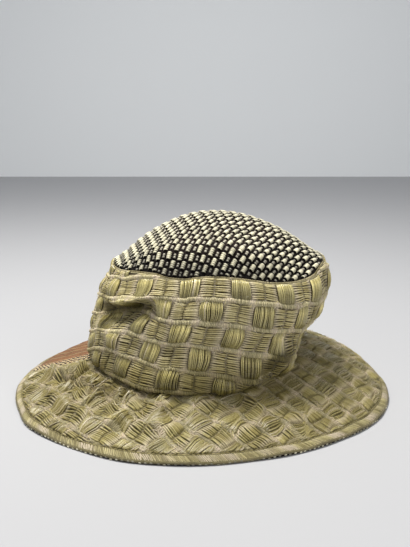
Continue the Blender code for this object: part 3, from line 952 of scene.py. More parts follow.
# --- ground cloth of the side wall
na, nv = 500, 84
az = (-180 + 360.0 * np.arange(na) / na)[:, None] + np.zeros((1, nv))
share = np.zeros((na, 1)) + np.linspace(0, 1, nv)[None, :]
total = round_value(wall_total, az) / MM
arc = share * total
c, n = wall_lattice_back(az, arc)
u, w = (c + 14) * 1.75, n * PITCH
height, tone, du, dw = weave_relief(u, w)
edge = ease(share * total / 3.0) * ease((1 - share) * total / 3.0)
level = look_up(wall_inverse, az, share)
rng = np.random.default_rng(SEED)
points, normals = wall.at(az, level, (height * edge + 0.15) * MM)
tone = tone * (1 + 0.07 * rng.standard_normal((na, nv)))[..., None]
tone = tone * foot_painted_shade(points)
verts = points.reshape(-1, 3)
faces = [grid_faces(na, nv, True, flip=True)]
band_cloth = mesh_object("crown_band_cloth", verts, faces, [cloth_mat], tone.reshape(-1, 3),
                         np.stack([u, w], axis=2).reshape(-1, 2))
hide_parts("crown_band")

# --- its reverse, seen from inside the hat
ni, mi = 300, 50
az = (-180 + 360.0 * np.arange(ni) / ni)[:, None] + np.zeros((1, mi))
share = np.zeros((ni, 1)) + np.linspace(0, 1, mi)[None, :]
total = round_value(wall_total, az) / MM
c, n = wall_lattice_back(az, share * total)
u, w = (c + 14) * 1.75, n * PITCH
height, tone, du, dw = weave_relief(u, w)
level = look_up(wall_inverse, az, share)
points, normals = wall.at(az, level, (-1.05 - 0.35 * height) * MM)
tone = 0.35 * tone + 0.65 * (OLIVE * 0.8 + 0.2 * PINKISH)
band_inside = mesh_object("crown_band_reverse", points.reshape(-1, 3),
                          [grid_faces(ni, mi, True)], [inside_mat], tone.reshape(-1, 3),
                          np.stack([u, w], axis=2).reshape(-1, 2))


def clip_run(inside):
    """First and last inside sample of each strand, as parts of its run."""
    S, D = inside.shape
    first = np.argmax(inside, axis=1)
    last = D - 1 - np.argmax(inside[:, ::-1], axis=1)
    good = inside.any(axis=1)
    return first / (D - 1), last / (D - 1), good


def place_strands(u0, w0, u1, w1, bulge, sag, lens_u, lens_w, place, keep, K, profile=0.55):
    """Strands from (u0, w0) to (u1, w1) in the lattice, cut where keep() is false.

    lens_u, lens_w bend the middle of a strand sideways; bulge and sag are its
    middle and end heights in mm.
    """
    dense = np.linspace(0, 1, 17)[None, :]
    bend = 1 - (2 * dense - 1) ** 2
    uu = u0[:, None] + (u1 - u0)[:, None] * dense + lens_u[:, None] * bend
    ww = w0[:, None] + (w1 - w0)[:, None] * dense + lens_w[:, None] * bend
    inside = keep(uu, ww)
    a, b, good = clip_run(inside)
    good &= (b - a) > 0.30
    a, b = a[good], b[good]
    t = a[:, None] + (b - a)[:, None] * (0.5 - 0.5 * np.cos(math.pi * np.linspace(0, 1, K)))[None, :]
    t = 0.5 * t + 0.5 * (a[:, None] + (b - a)[:, None] * np.linspace(0, 1, K)[None, :])
    bend = np.clip(1 - (2 * t - 1) ** 2, 0, 1)
    uu = u0[good, None] + (u1 - u0)[good, None] * t + lens_u[good, None] * bend
    ww = w0[good, None] + (w1 - w0)[good, None] * t + lens_w[good, None] * bend
    hh = sag + (bulge[good, None] - sag) * bend ** profile
    point, normal = place(uu, ww, hh * MM)
    return point, normal, t, bend, good


def float_blocks(centres, rng, place, keep, bulge, pinch, K, sides, light, dark, count=14,
                 ragged=0.015, reach=BLOCK_REACH, slim=1.0, sag=-0.35, slack=0.12, pale=0.05,
                 profile=0.8, glint=0.0):
    """Blocks of long floats, centres (B, 3): u, w, height factor."""
    B = len(centres)
    i = np.arange(count)[None, :] - (count - 1) / 2
    du = i * (2 * BLOCK_HALF / count) + rng.normal(0, 0.08, (B, count))
    size = centres[:, 2][:, None]
    reach = reach * (1 + rng.normal(0, ragged, (B, count)))
    squeeze = 1 - pinch * rng.uniform(0.6, 1.3, (B, 1))
    loose = slack + 0.35 * np.clip(size - 1.2, 0, 1)
    u0 = (centres[:, 0:1] + du * squeeze + loose * rng.standard_normal((B, count))).ravel()
    u1 = (centres[:, 0:1] + du * squeeze + loose * rng.standard_normal((B, count))).ravel()
    lens = (du * (1 - squeeze) + loose * rng.standard_normal((B, count))).ravel()
    w0 = (centres[:, 1:2] - reach).ravel()
    w1 = (centres[:, 1:2] + reach).ravel()
    dome = (bulge * size * (1 - 0.62 * (du / BLOCK_HALF) ** 2)
            + (0.05 + 0.5 * loose) * rng.standard_normal((B, count))).ravel()
    point, normal, t, bend, good = place_strands(u0, w0, u1, w1, dome, sag, lens, 0 * lens,
                                                 place, keep, K, profile)
    mix = rng.beta(2.6, 2.4, (B, count)).ravel()[good]
    block = np.repeat(rng.uniform(0.88, 1.10, B), count)[good]
    tone = (dark + (light - dark) * mix[:, None]) * block[:, None]
    tone = np.where(rng.uniform(0, 1, (len(mix), 1)) < pale, (0.5 * PINKISH + 0.5 * light) * 0.85, tone)
    # painted shade towards the floats' ends, where they dip under the cords, and with glint a painted highlight on
    # their upper part
    shade = ((0.56 + 0.44 * np.clip(bend * 1.9, 0, 1))
             * (1 + glint * (np.exp(-((t - 0.30) / 0.15) ** 2) - 0.5 * ease((t - 0.5) / 0.4))))
    tone = tone[:, None] * shade[..., None]
    hw = slim * (0.55 + rng.normal(0, 0.04, len(mix)))[:, None] * MM
    hh = (0.54 + rng.normal(0, 0.05, len(mix)))[:, None] * MM
    return tube_mesh(point, normal, hw, hh, sides, tone)


def cross_blocks(centres, rng, place, keep, bulge, K, sides, light, dark, count=9, pinch=0.1,
                 middle=0.55):
    """Pairs of short cross strand blocks; centres are those of the gap between floats."""
    parts = []
    B = len(centres)
    for side in (-1, 1):
        j = np.arange(count)[None, :] - (count - 1) / 2
        dw = j * (15.2 / count) + rng.normal(0, 0.10, (B, count))
        pair = np.where((np.arange(count) % 2)[None, :] == 0, 0.12, -0.12)
        inner, outer = 0.20, 12.3
        u0 = (centres[:, 0:1] + side * inner + 0 * dw).ravel()
        u1 = (centres[:, 0:1] + side * outer + 0 * dw).ravel()
        w0 = (centres[:, 1:2] + dw * (1 - pinch) + pair).ravel()
        w1 = (centres[:, 1:2] + dw * 1.02 + rng.normal(0, 0.12, (B, count))).ravel()
        lens = rng.normal(0, 0.16, B * count)
        dome = (bulge * centres[:, 2][:, None] * rng.uniform(0.75, 1.2, (B, count))).ravel()
        point, normal, t, bend, good = place_strands(u0, w0, u1, w1, dome, 0.1, 0 * lens, lens,
                                                     place, keep, K)
        mix = rng.beta(1.7, 1.5, (B, count)).ravel()[good]
        tone = dark + (light - dark) * mix[:, None]
        block = np.repeat(rng.uniform(0.86, 1.08, B), count)[good]
        shade = (middle + (1 - middle) * np.clip(t * 6 + 0.1, 0, 1))
        tone = tone[:, None] * shade[..., None] * block[:, None, None]
        # the outer end turns into the plain strip
        blend = ease((t - 0.62) / 0.2)[..., None] * 0.62
        tone = tone * (1 - blend) + (0.6 * PINKISH + 0.4 * CORD) * 0.88 * blend
        hw = (0.76 + rng.normal(0, 0.05, len(mix)))[:, None] * MM
        hh = (0.42 + rng.normal(0, 0.04, len(mix)))[:, None] * MM
        parts.append(tube_mesh(point, normal, hw, hh, sides, tone))
    return join(parts)


def cord_ribs(u, w, rng, place, keep, raised, tone_light, tone_dark, half=CORD_HALF, K=4):
    """Short ribs over the plain cords, one at each (u, w)."""
    S = len(u)
    lean = rng.normal(0, 0.15, S)
    t = np.linspace(-1, 1, K)[None, :]
    uu = u[:, None] + lean[:, None] * t
    ww = w[:, None] + t * half * rng.uniform(0.9, 1.08, S)[:, None]
    ok = keep(uu, ww).all(axis=1)
    uu, ww = uu[ok], ww[ok]
    row = np.round(w[ok] / PITCH - 0.5)
    lump = (1 + 0.20 * np.sin(u[ok] * 0.83 + row * 2.1) * np.sin(u[ok] * 0.31 + row)
            + 0.12 * np.sin(u[ok] * 2.1 + row * 5.3))
    hh = (raised - 0.75 * raised * np.abs(t) ** 2.2) * (lump * rng.uniform(0.85, 1.15, len(uu)))[:, None]
    point, normal = place(uu, ww, hh * MM)
    mix = rng.uniform(0, 1, len(uu))[:, None]
    tone = tone_dark + (tone_light - tone_dark) * mix
    # painted light: the ribs are paler where their lumps stand higher
    tone = tone * (0.86 + 0.55 * (lump - 0.75))[:, None]
    near = np.abs(u[ok] % (PERIOD / 2) - PERIOD / 4)
    pink = np.exp(-(near / 3.8) ** 2)[:, None] * rng.uniform(0.4, 1.0, len(uu))[:, None]
    tone = tone * (1 - pink) + PINKISH * 1.05 * pink
    # painted shade towards both ends of each rib, where it dips under the strands
    tone = tone[:, None] * (1 - 0.22 * np.abs(t))[..., None]
    return tube_mesh(point, normal, 0.43 * MM, 0.42 * MM, 4, tone, taper=0.8, caps=False)


# --- blocks of the side wall
def wall_at(u, w, height):
    point, normal, share, az = wall_place(u / 1.75 - 14, w / PITCH, height)
    return point, normal


def wall_keep(u, w):
    az, arc = wall_lattice(u / 1.75 - 14, w / PITCH)
    total = round_value(wall_total, az) / MM
    return (arc > 0.6) & (arc < total - 1.0)


rng = np.random.default_rng(SEED + 1)
blocks, gaps = [], []
for row in range(-2, 8):
    for k in range(15):
        u0 = k * PERIOD + (0.0 if row % 2 else PERIOD / 2)
        blocks.append((u0, row * PITCH, rng.uniform(0.85, 1.15)))
        gaps.append((u0 + PERIOD / 2, row * PITCH, rng.uniform(0.85, 1.15)))
blocks, gaps = np.array(blocks), np.array(gaps)

v, f, t = float_blocks(blocks, rng, wall_at, wall_keep, 2.5, 0.10, 7, 5,
                       OLIVE_LIGHT * 0.92, OLIVE_DARK * 1.15, glint=0.45)
band_floats = mesh_object("crown_band_floats", v, f, [float_mat], t * foot_painted_shade(v))
v, f, t = cross_blocks(gaps, rng, wall_at, wall_keep, 0.85, 5, 5,
                       OLIVE_LIGHT * 0.60 + PINKISH * 0.18, OLIVE_DARK * 1.7 + PINKISH * 0.10, middle=0.88)
band_cross = mesh_object("crown_band_cross_strands", v, f, [cross_mat], t * foot_painted_shade(v))

ribs_u, ribs_w = [], []
for row in range(-2, 8):
    step = 1.15
    us = np.arange(0, PERIOD * 15, step)
    ribs_u.append(us + rng.normal(0, 0.1, len(us)))
    ribs_w.append(np.full(len(us), (row + 0.5) * PITCH))
v, f, t = cord_ribs(np.concatenate(ribs_u), np.concatenate(ribs_w), rng, wall_at, wall_keep,
                    1.6, CORD * 1.28, CORD * 0.86)
band_cords = mesh_object("crown_band_cords", v, f, [cord_mat], t * foot_painted_shade(v))


# --- the side wall's turned upper edge, rolled over the tip's margin
ring_az = np.arange(-180, 181, 1.5)[None, :]
share = np.zeros_like(ring_az) + 0.004
level = look_up(wall_inverse, ring_az, share)
point, normal = wall.at(ring_az, level, 0.1 * MM)
point = point + np.array([0, 0, 0.9]) * MM
tone = (CORD * 0.9)[None, None] * (1 + 0.12 * np.sin(ring_az * 1.9)[..., None]
                                    + 0.08 * np.sin(ring_az * 0.73)[..., None])
v, f, t = tube_mesh(point, normal, 0.7 * MM, 0.6 * MM, 8, tone * 0.8, taper=1.0, caps=False)
band_fold = mesh_object("crown_band_fold", v, f, [cord_mat], t)
S = 2 * 360
az0 = -180 + 0.5 * np.arange(S) + np.random.default_rng(SEED + 12).normal(0, 0.06, S)
turn = np.linspace(-0.25, 1.0, 5)[None, :] * math.pi * 0.62
level = look_up(wall_inverse, az0, np.full(S, 0.006))
base, out = wall.at(az0, level, 0.0)
base, out = base[:, None], out[:, None]
up = np.array([0, 0, 1.0])
point = (base + (out * np.cos(turn)[..., None] * 1.35 + up * (np.sin(turn)[..., None] * 1.5 + 0.6))
         * MM)
normal = unit(out * np.cos(turn)[..., None] + up * np.sin(turn)[..., None])
fold_rng = np.random.default_rng(SEED + 13)
mix = (0.6 * np.repeat(fold_rng.uniform(0, 1, S // 9), 9)[:, None]
       + 0.4 * fold_rng.uniform(0, 1, (S, 1)))
v, f, t = tube_mesh(point, normal, 0.42 * MM, 0.30 * MM, 4,
                    ((OLIVE_DARK + (0.4 * OLIVE_LIGHT + 0.4 * PINKISH - OLIVE_DARK) * mix) * 0.85)[:, None], taper=0.9,
                    caps=False)
band_fold_ribs = mesh_object("crown_band_fold_ribs", v, f, [cord_mat], t)


# ------------------------------------------------------------ brim weave

BRIM_V = np.array([math.cos(math.radians(BRIM_TURN)), math.sin(math.radians(BRIM_TURN))])
BRIM_H = np.array([math.sin(math.radians(BRIM_TURN)), -math.cos(math.radians(BRIM_TURN))])


def brim_lattice(u, w):
    """Azimuth and across of a lattice position (mm) of the brim's bias cloth."""
    a, b = stray(u, w, 70, 27.0)
    u, w = u + BRIM_PHASE[0] + 1.3 * a, w + BRIM_PHASE[1] + 1.3 * b
    xf = u * BRIM_H[0] + w * BRIM_V[0]
    yf = u * BRIM_H[1] + w * BRIM_V[1]
    rho = np.hypot(xf, yf)
    turn = np.arctan2(xf, -yf) / BRIM_CONE
    r = rho * BRIM_CONE * MM
    return plan_to_brim(r * np.sin(turn), -r * np.cos(turn))


def brim_lattice_back(x, y):
    """Lattice position of a place in plan, in metres about the rim's centre."""
    r = np.hypot(x, y) / MM / BRIM_CONE
    turn = np.arctan2(x, -y) * BRIM_CONE
    xf, yf = r * np.sin(turn), -r * np.cos(turn)
    u0 = xf * BRIM_H[0] + yf * BRIM_H[1] - BRIM_PHASE[0]
    w0 = xf * BRIM_V[0] + yf * BRIM_V[1] - BRIM_PHASE[1]
    u, w = u0, w0
    for turn in range(5):
        a, b = stray(u, w, 70, 27.0)
        u, w = u0 - 1.3 * a, w0 - 1.3 * b
    return u, w


def panel_edges(across):
    return column(PANEL_SEAMS, across, 1), column(PANEL_SEAMS, across, 2)


def brim_at(u, w, height):
    az, across = brim_lattice(u, w)
    return brim.at(az, across, height)


def brim_keep(u, w):
    az, across = brim_lattice(u, w)
    left, right = panel_edges(np.clip(across, 0, 1))
    return (across > 0.02) & (across < hem_at(az) - 0.005) & (az > left + 0.8) & (az < right - 0.8)


BRIM_SHADE = (
    # azimuth, across, half_azimuth, half_across, depth
    (-68, 0.40, 6, 0.04, 0.30),
    (-60, 0.33, 6, 0.04, 0.25),
    (-50, 0.30, 6, 0.06, 0.26),
    (-42, 0.31, 5, 0.07, 0.30),
    (-34, 0.28, 5, 0.06, 0.25),
    (-26, 0.27, 5, 0.05, 0.22),
    (-14, 0.40, 4, 0.05, 0.22),
    (13, 0.36, 5, 0.06, 0.34),
    (27, 0.34, 6, 0.06, 0.28),
    (40, 0.24, 10, 0.07, 0.24),
    (90, 0.40, 60, 0.60, 0.22),
    (-72, 0.66, 26, 0.32, 0.20),
)


def brim_painted_shade(points):
    """Painted shade: the brim is darker and browner in its folds, close about the foot of the crown, and in broad
    patches on the right and the outer left.
    """
    az, across = plan_to_brim(points[..., 0] + MIDDLE_X, points[..., 1] + MIDDLE_Y)
    pit = 0.22 * (1 - ease((across - 0.16) / 0.14))
    for at_az, at, half_az, half, depth in BRIM_SHADE:
        pit = 1 - (1 - pit) * (1 - depth * bump(angle_gap(az, at_az), half_az * 1.6)
                               * bump(across - at, half * 1.6))
    return (1 - pit)[..., None] * (1 - pit[..., None] * np.array([-0.06, 0.06, 0.50]))


nb, mb = 440, 76
across = np.zeros((nb, 1)) + np.linspace(0, 1, mb)[None, :]
left, right = panel_edges(across)
az = left + (right - left) * (np.arange(nb) / (nb - 1))[:, None]
px, py, pz = brim_smooth(az, across)
u, w = brim_lattice_back(px, py)
height, tone, du, dw = weave_relief(u, w)
hem = ease((across - hem_at(az) + 0.006) / 0.012)
groove = np.exp(-((across - hem_at(az)) / 0.011) ** 2)
flat_height = height * 0.8 * (1 - hem) + 0.35 * hem - 0.75 * groove
wave = (0.5 + 0.5 * crumple(px, py, 21, 6, 0.03))[..., None]
# the cloth under the hem ribs is very dark, painted shade between the ribs, and darker still in the stitch groove,
# painted shade in a recess
hem_tone = CORD * 0.16 * (1 - 0.35 * wave) + PINKISH * 0.08 * wave
tone = tone * (1 - hem[..., None]) + hem_tone * hem[..., None]
tone = tone * (1 - 0.5 * groove[..., None])
tone = 0.45 * tone + 0.50 * OLIVE * 0.70
rng = np.random.default_rng(SEED + 2)
tone = tone * (1 + 0.07 * rng.standard_normal((nb, mb)))[..., None]
edge = ease((1 - across) / 0.012)
points, normals = brim.at(az, across, (flat_height + 0.1) * MM * (0.4 + 0.6 * edge))
tone = tone * brim_painted_shade(points)
# a turned edge below the rim
drop = [(0.0006, -0.0006), (0.0004, -0.0014), (-0.0006, -0.0019)]
rows = [points]
rim_line, rim_normal = brim.at(az[:, -1:], across[:, -1:], 0.0)
s, cc = bearing(az[:, -1:])
radial = np.stack([s, cc, 0 * s], axis=2)
for out, down in drop:
    rows.append(rim_line + radial * out + np.array([0, 0, down]))
points = np.concatenate(rows, axis=1)
# painted shade on the turned edge, which faces down under the rim
tone = np.concatenate([tone] + [tone[:, -1:] * 0.8] * len(drop), axis=1)
uw = np.stack([u, w], axis=2)
uw = np.concatenate([uw] + [uw[:, -1:] + k for k in (0.6, 1.2, 1.8)], axis=1)
mb2 = points.shape[1]
brim_cloth = mesh_object("brim_top_cloth", points.reshape(-1, 3),
                         [grid_faces(nb, mb2, False, flip=True)], [cloth_mat],
                         tone.reshape(-1, 3), uw.reshape(-1, 2))
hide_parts("brim_top")

rng = np.random.default_rng(SEED + 3)
blocks, gaps, ribs_u, ribs_w = [], [], [], []
for row in range(-14, 15):
    for k in range(-7, 8):
        u0 = k * PERIOD + (0.0 if row % 2 else PERIOD / 2)
        w0 = row * PITCH
        a, t = brim_lattice(np.array([u0]), np.array([w0]))
        if -0.35 < t[0] < 1.3:
            ruck = (0.6 * float(bump(angle_gap(a[0], -50), 26)) * float(bump(t[0] - 0.35, 0.30))
                    + 0.2 * float(bump(angle_gap(a[0], -5), 40)))
            flat = 1 - 0.5 * float(ease((t[0] - 0.66) / 0.16))
            blocks.append((u0, w0, (rng.uniform(0.8, 1.2) + ruck) * flat))
        a, t = brim_lattice(np.array([u0 + PERIOD / 2]), np.array([w0]))
        if -0.35 < t[0] < 1.3:
            gaps.append((u0 + PERIOD / 2, w0, rng.uniform(0.8, 1.2)))
    us = np.arange(-7.5 * PERIOD, 7.5 * PERIOD, 1.2)
    us = us + rng.normal(0, 0.12, len(us))
    ribs_u.append(us)
    ribs_w.append(np.full(len(us), (row + 0.5) * PITCH))
blocks, gaps = np.array(blocks), np.array(gaps)
v, f, t = float_blocks(blocks, rng, brim_at, brim_keep, 1.0, 0.06, 6, 5,
                       OLIVE_LIGHT * 0.64, OLIVE_DARK * 1.5, count=23, ragged=0.09, reach=10.0,
                       slim=0.72, sag=0.1, slack=0.38, pale=0.16, profile=0.7)
brim_floats = mesh_object("brim_top_floats", v, f, [float_mat], t * brim_painted_shade(v))
v, f, t = cross_blocks(gaps, rng, brim_at, brim_keep, 0.85, 5, 5, OLIVE_LIGHT * 0.60,
                       OLIVE_DARK * 1.6, pinch=0.06, middle=0.9)
brim_cross = mesh_object("brim_top_cross_strands", v, f, [cross_mat], t * brim_painted_shade(v))
v, f, t = cord_ribs(np.concatenate(ribs_u), np.concatenate(ribs_w), rng, brim_at, brim_keep,
                    1.0, CORD * 0.86, CORD * 0.56)
brim_cords = mesh_object("brim_top_cords", v, f, [cord_mat], t * brim_painted_shade(v))


# --- hem: slanting ribs between the stitch line and the turned edge
def hem_ribs(az_list, rng, light, dark, slant=1.5):
    S = len(az_list)
    t = np.linspace(0, 1, 4)[None, :]
    start = hem_at(az_list)[:, None] + 0.012
    across = start + (0.992 - start) * t
    az = az_list[:, None] + slant * (t - 0.5) * (1 + rng.normal(0, 0.15, S))[:, None]
    hh = (0.55 - 0.4 * np.abs(2 * t - 1) ** 2 + rng.normal(0, 0.06, (S, 1))) * MM
    point, normal = brim.at(az, across, hh)
    clump = np.repeat(rng.uniform(0, 1, S // 3 + 2), 3)[:S]
    mix = np.clip(0.05 + 0.30 * clump + 0.65 * rng.uniform(0, 1, S), 0, 1)[:, None]
    tone = dark + (light - dark) * mix
    wave = np.clip(0.2 + 0.7 * np.sin(az_list / 2.9) + 0.6 * np.sin(az_list / 1.31 + 1), 0, 1)[:, None]
    tone = tone * (1 - 0.7 * wave) + PINKISH * 0.74 * 0.7 * wave
    return tube_mesh(point, normal, 0.56 * MM, 0.50 * MM, 5, tone[:, None], taper=0.8, caps=False)


rng = np.random.default_rng(SEED + 4)
hem_az = np.arange(-97.5, 133.0, 0.58)
v, f, t = hem_ribs(hem_az, rng, (OLIVE_LIGHT + CORD) * 0.37, OLIVE_DARK * 0.9)
brim_hem = mesh_object("brim_hem_ribs", v, f, [cord_mat], t)

# --- topstitching in the groove
st_az = np.arange(-180, 180, 1.35)
t4 = np.linspace(-0.5, 0.5, 4)[None, :]
az4 = st_az[:, None] + t4 * 1.05
hh = (0.28 - 0.5 * np.abs(2 * t4) ** 3) * MM
point, normal = brim.at(az4, hem_at(az4), hh + 0 * az4)
v, f, t = tube_mesh(point, normal, 0.26 * MM, 0.24 * MM, 5,
                    (srgb(170, 158, 104) * (1 + 0 * st_az[:, None]))[:, None])
stitches = mesh_object("brim_topstitches", v, f, [thread_mat], t)


# ------------------------------------------------------------ frayed fibres

def fibres(u, w, rng, place, keep, spread, length, raised, tones):
    """Thin curled fibres that stand loose about places of the lattice."""
    S = len(u)
    turn = rng.uniform(0, 2 * math.pi, S)
    bend = rng.normal(0, 0.9, S)
    long = length * rng.uniform(0.5, 1.3, S)
    u0, w0 = u + rng.normal(0, spread, S), w + rng.normal(0, spread * 0.6, S)
    t = np.array([0.0, 0.5, 1.0])[None, :]
    uu = u0[:, None] + long[:, None] * t * np.cos(turn[:, None] + bend[:, None] * t)
    ww = w0[:, None] + long[:, None] * t * np.sin(turn[:, None] + bend[:, None] * t)
    ok = keep(uu, ww).all(axis=1)
    uu, ww = uu[ok], ww[ok]
    lift = raised * rng.uniform(0.5, 1.4, len(uu))[:, None]
    hh = (0.8 + lift * (1 - (2 * t - 1) ** 2)) * MM + 0 * uu
    point, normal = place(uu, ww, hh)
    tone = tones[rng.integers(0, len(tones), len(uu))] * rng.uniform(0.85, 1.15, (len(uu), 1))
    return tube_mesh(point, normal, 0.16 * MM, 0.16 * MM, 3, tone[:, None], taper=0.6, caps=False)


FIBRE_TONES = np.array([PINKISH * 1.15, CREAM * 0.9, OLIVE_LIGHT, PINKISH])
rng = np.random.default_rng(SEED + 20)
corner_u, corner_w = [], []
for row in range(-2, 8):
    for k in range(30):
        corner_u.append(np.full(7, PERIOD / 4 + k * PERIOD / 2))
        corner_w.append(np.full(7, (row + 0.5) * PITCH))
v, f, t = fibres(np.concatenate(corner_u), np.concatenate(corner_w), rng, wall_at, wall_keep,
                 2.4, 4.5, 1.3, FIBRE_TONES)
band_fibres = mesh_object("crown_band_fibres", v, f, [cord_mat], t * foot_painted_shade(v))

corner_u, corner_w = [], []
for row in range(-14, 15):
    for k in range(-15, 16):
        here_u, here_w = PERIOD / 4 + k * PERIOD / 2, (row + 0.5) * PITCH
        a, t = brim_lattice(np.array([here_u]), np.array([here_w]))
        if -0.1 < t[0] < 1.0:
            many = 8 + int(14 * float(bump(angle_gap(a[0], -35), 45)))
            corner_u.append(np.full(many, here_u))
            corner_w.append(np.full(many, here_w))
v, f, t = fibres(np.concatenate(corner_u), np.concatenate(corner_w), rng, brim_at, brim_keep,
                 3.6, 5.0, 1.2, FIBRE_TONES)
brim_fibres = mesh_object("brim_top_fibres", v, f, [cord_mat], t * brim_painted_shade(v))


# ------------------------------------------------------------ back panel

npan, mpan = 300, 76
across = np.zeros((npan, 1)) + np.linspace(0, 1, mpan)[None, :]
left, right = panel_edges(across)
az = right + (left + 360 - right) * (np.arange(npan) / (npan - 1))[:, None]
px, py, pz = brim_smooth(az, across)
hem = ease((across - hem_at(az) + 0.006) / 0.012)
groove = np.exp(-((across - hem_at(az)) / 0.011) ** 2)
height = 0.25 * (1 - hem) + 0.4 * hem - 0.75 * groove
mixed = (0.5 + 0.5 * crumple(px, py, 31, 6, 0.02))[..., None]
tone = TERRACOTTA_DARK * (1 - 0.4 * mixed) + TERRACOTTA * 0.6 * mixed
tone = tone * (1 - hem[..., None]) + TAN * 0.75 * hem[..., None]
# painted shade in the stitch groove
tone = tone * (1 - 0.5 * groove[..., None])
edge = ease((1 - across) / 0.012)
points, normals = brim.at(az, across, height * MM * (0.4 + 0.6 * edge))
rows = [points]
rim_line, rim_normal = brim.at(az[:, -1:], across[:, -1:], 0.0)
s, cc = bearing(az[:, -1:])
radial = np.stack([s, cc, 0 * s], axis=2)
for out, down in drop:
    rows.append(rim_line + radial * out + np.array([0, 0, down]))
points = np.concatenate(rows, axis=1)
# painted shade on the turned edge, which faces down under the rim
tone = np.concatenate([tone] + [tone[:, -1:] * 0.8] * len(drop), axis=1)
uw = np.stack([az * 2.4, across * 78], axis=2)
uw = np.concatenate([uw] + [uw[:, -1:] + k for k in (0.6, 1.2, 1.8)], axis=1)
panel_cloth = mesh_object("brim_panel_cloth", points.reshape(-1, 3),
                          [grid_faces(npan, points.shape[1], False, flip=True)], [panel_mat],
                          tone.reshape(-1, 3), uw.reshape(-1, 2))
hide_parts("brim_back_panel")

# ribs that run beside the left seam, out to the hem
rng = np.random.default_rng(SEED + 5)
parts = []
share_list = np.arange(0.004, 0.996, 0.0042)
K = 16
tt = np.linspace(0.02, HEM - 0.014, K)[None, :]
left, right = panel_edges(tt)
az = right + (left + 360 - right) * (share_list[:, None] + rng.normal(0, 0.0004, (len(share_list), 1)))
hh = (0.55 + 0.10 * np.sin(tt * 160 + share_list[:, None] * 900)) * MM
point, normal = brim.at(az, tt + 0 * az, hh)
gap = 1 - share_list
border = (gap < 0.052)[:, None]
mix = rng.uniform(0, 1, len(share_list))[:, None]
tone = TERRACOTTA_DARK * 1.1 + (TERRACOTTA * 1.05 - TERRACOTTA_DARK * 1.1) * mix
stripe = (np.arange(len(share_list)) % 9 < 2)[:, None]
tone = np.where(stripe, 0.42 * TAN + 0.45 * TERRACOTTA + 0.1 * TAN * mix, tone)
tone = np.repeat(tone[:, None], K, axis=1)
v, f, t = tube_mesh(point, normal, 0.62 * MM, 0.34 * MM, 4, tone, taper=0.8, caps=False)
parts.append((v, f, t))
v, f, t = join(parts)
panel_ribs = mesh_object("brim_panel_ribs", v, f, [panel_mat], t)

# selvage of small checks along the left seam
parts = []
for line in range(5):
    steps = np.linspace(0.03, HEM - 0.02, 30)
    left, right = panel_edges(steps)
    radius = (OPEN_RADIUS + 0.078 * steps) / MM
    centre = left - np.degrees((1.9 + line * 2.7) / radius)
    on = (np.arange(len(steps)) + line) % 2 == 0
    half = 1.05 / 78
    t3 = np.linspace(-1, 1, 4)[None, :]
    tt = steps[:, None] + t3 * half
    point, normal = brim.at(centre[:, None] + 0 * tt, tt, (1.0 - 0.45 * t3 ** 2) * MM + 0 * tt)
    tone = np.where(on[:, None], srgb(214, 194, 150), srgb(48, 30, 22))
    if line == 4:
        tone = np.where(on[:, None], srgb(176, 132, 92), TERRACOTTA_DARK)
    parts.append(tube_mesh(point, normal, 1.25 * MM, 0.42 * MM, 5, tone[:, None], taper=0.7))
v, f, t = join(parts)
selvage = mesh_object("brim_panel_selvage", v, f, [tile_mat], t)

hem_az = np.arange(134.5, 261.0, 0.42)
v, f, t = hem_ribs(hem_az, np.random.default_rng(SEED + 6), TAN * 0.80, TAN * 0.40, slant=0.6)
panel_hem = mesh_object("brim_panel_hem_ribs", v, f, [cord_mat], t)

# the two seams of the panel, a rolled joint with a thread
for name, column_index, sign in (("left", 1, 1), ("right", 2, -1)):
    tt = np.linspace(0.01, 0.985, 60)[None, :]
    edge_az = column(PANEL_SEAMS, tt, column_index)
    point, normal = brim.at(edge_az, tt, 0.25 * MM + 0 * tt)
    v, f, t = tube_mesh(point, normal, 0.9 * MM, 0.55 * MM, 6, CORD * 0.75)
    mesh_object("brim_panel_seam_" + name, v, f, [cord_mat], t)


# ------------------------------------------------------------ tip

TILE_L = np.array([math.cos(math.radians(TILE_TURN)), math.sin(math.radians(TILE_TURN))])
TILE_S = np.array([math.sin(math.radians(TILE_TURN)), -math.cos(math.radians(TILE_TURN))])


def tip_place(x, y, height):
    """A point of the tip's cloth laid out flat about the apex, mm."""
    az = np.degrees(np.arctan2(x, -y))
    q = np.hypot(x, y)
    total = round_value(tip_total, az) / MM
    across = look_up(tip_inverse, az, q / total)
    point, normal = tip_skin.at(az, across, height)
    return point, normal, q / total


nt, mt = 360, 64
az = (-180 + np.arange(nt))[:, None] + np.zeros((1, mt))
across = np.zeros((nt, 1)) + np.linspace(0, 0.998, mt)[None, :]
points, normals = tip_skin.at(az, across, 0.05 * MM)
skirt = points[:, :1] + np.array([0, 0, -0.0024])
points = np.concatenate([skirt, points], axis=1)
# painted light and shade on the black ground: darker low on the tip's front facet, much paler towards its top, lit
# from above
tone = BLACK * (0.55 + 2.65 * ease((points[..., 2:3] - 0.130) / 0.020))
flat_q = np.array([[float(q) for q in np.interp(across[0], np.linspace(0, 1, tip_run.shape[1]),
                                                 tip_run[i * 2][::-1])] for i in range(nt)]) / MM
flat = np.stack([flat_q * np.sin(np.radians(az)), -flat_q * np.cos(np.radians(az))], axis=2)
lat = np.stack([flat @ TILE_S, flat @ TILE_L], axis=2)
lat = np.concatenate([lat[:, :1], lat], axis=1)
verts = points.reshape(-1, 3)
apex_point, apex_normal = tip_skin.at(np.array([0.0]), np.array([1.0]), 0.05 * MM)
verts = np.concatenate([verts, apex_point])
m1 = mt + 1
fan = np.stack([np.arange(nt) * m1 + mt, ((np.arange(nt) + 1) % nt) * m1 + mt,
                np.full(nt, nt * m1)], axis=1)
tip_cloth = mesh_object("crown_tip_ground", verts, [grid_faces(nt, m1, True), fan], [black_mat],
                        np.concatenate([tone.reshape(-1, 3), BLACK[None]]),
                        np.concatenate([lat.reshape(-1, 2), [[0, 0]]]))
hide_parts("crown_tip")


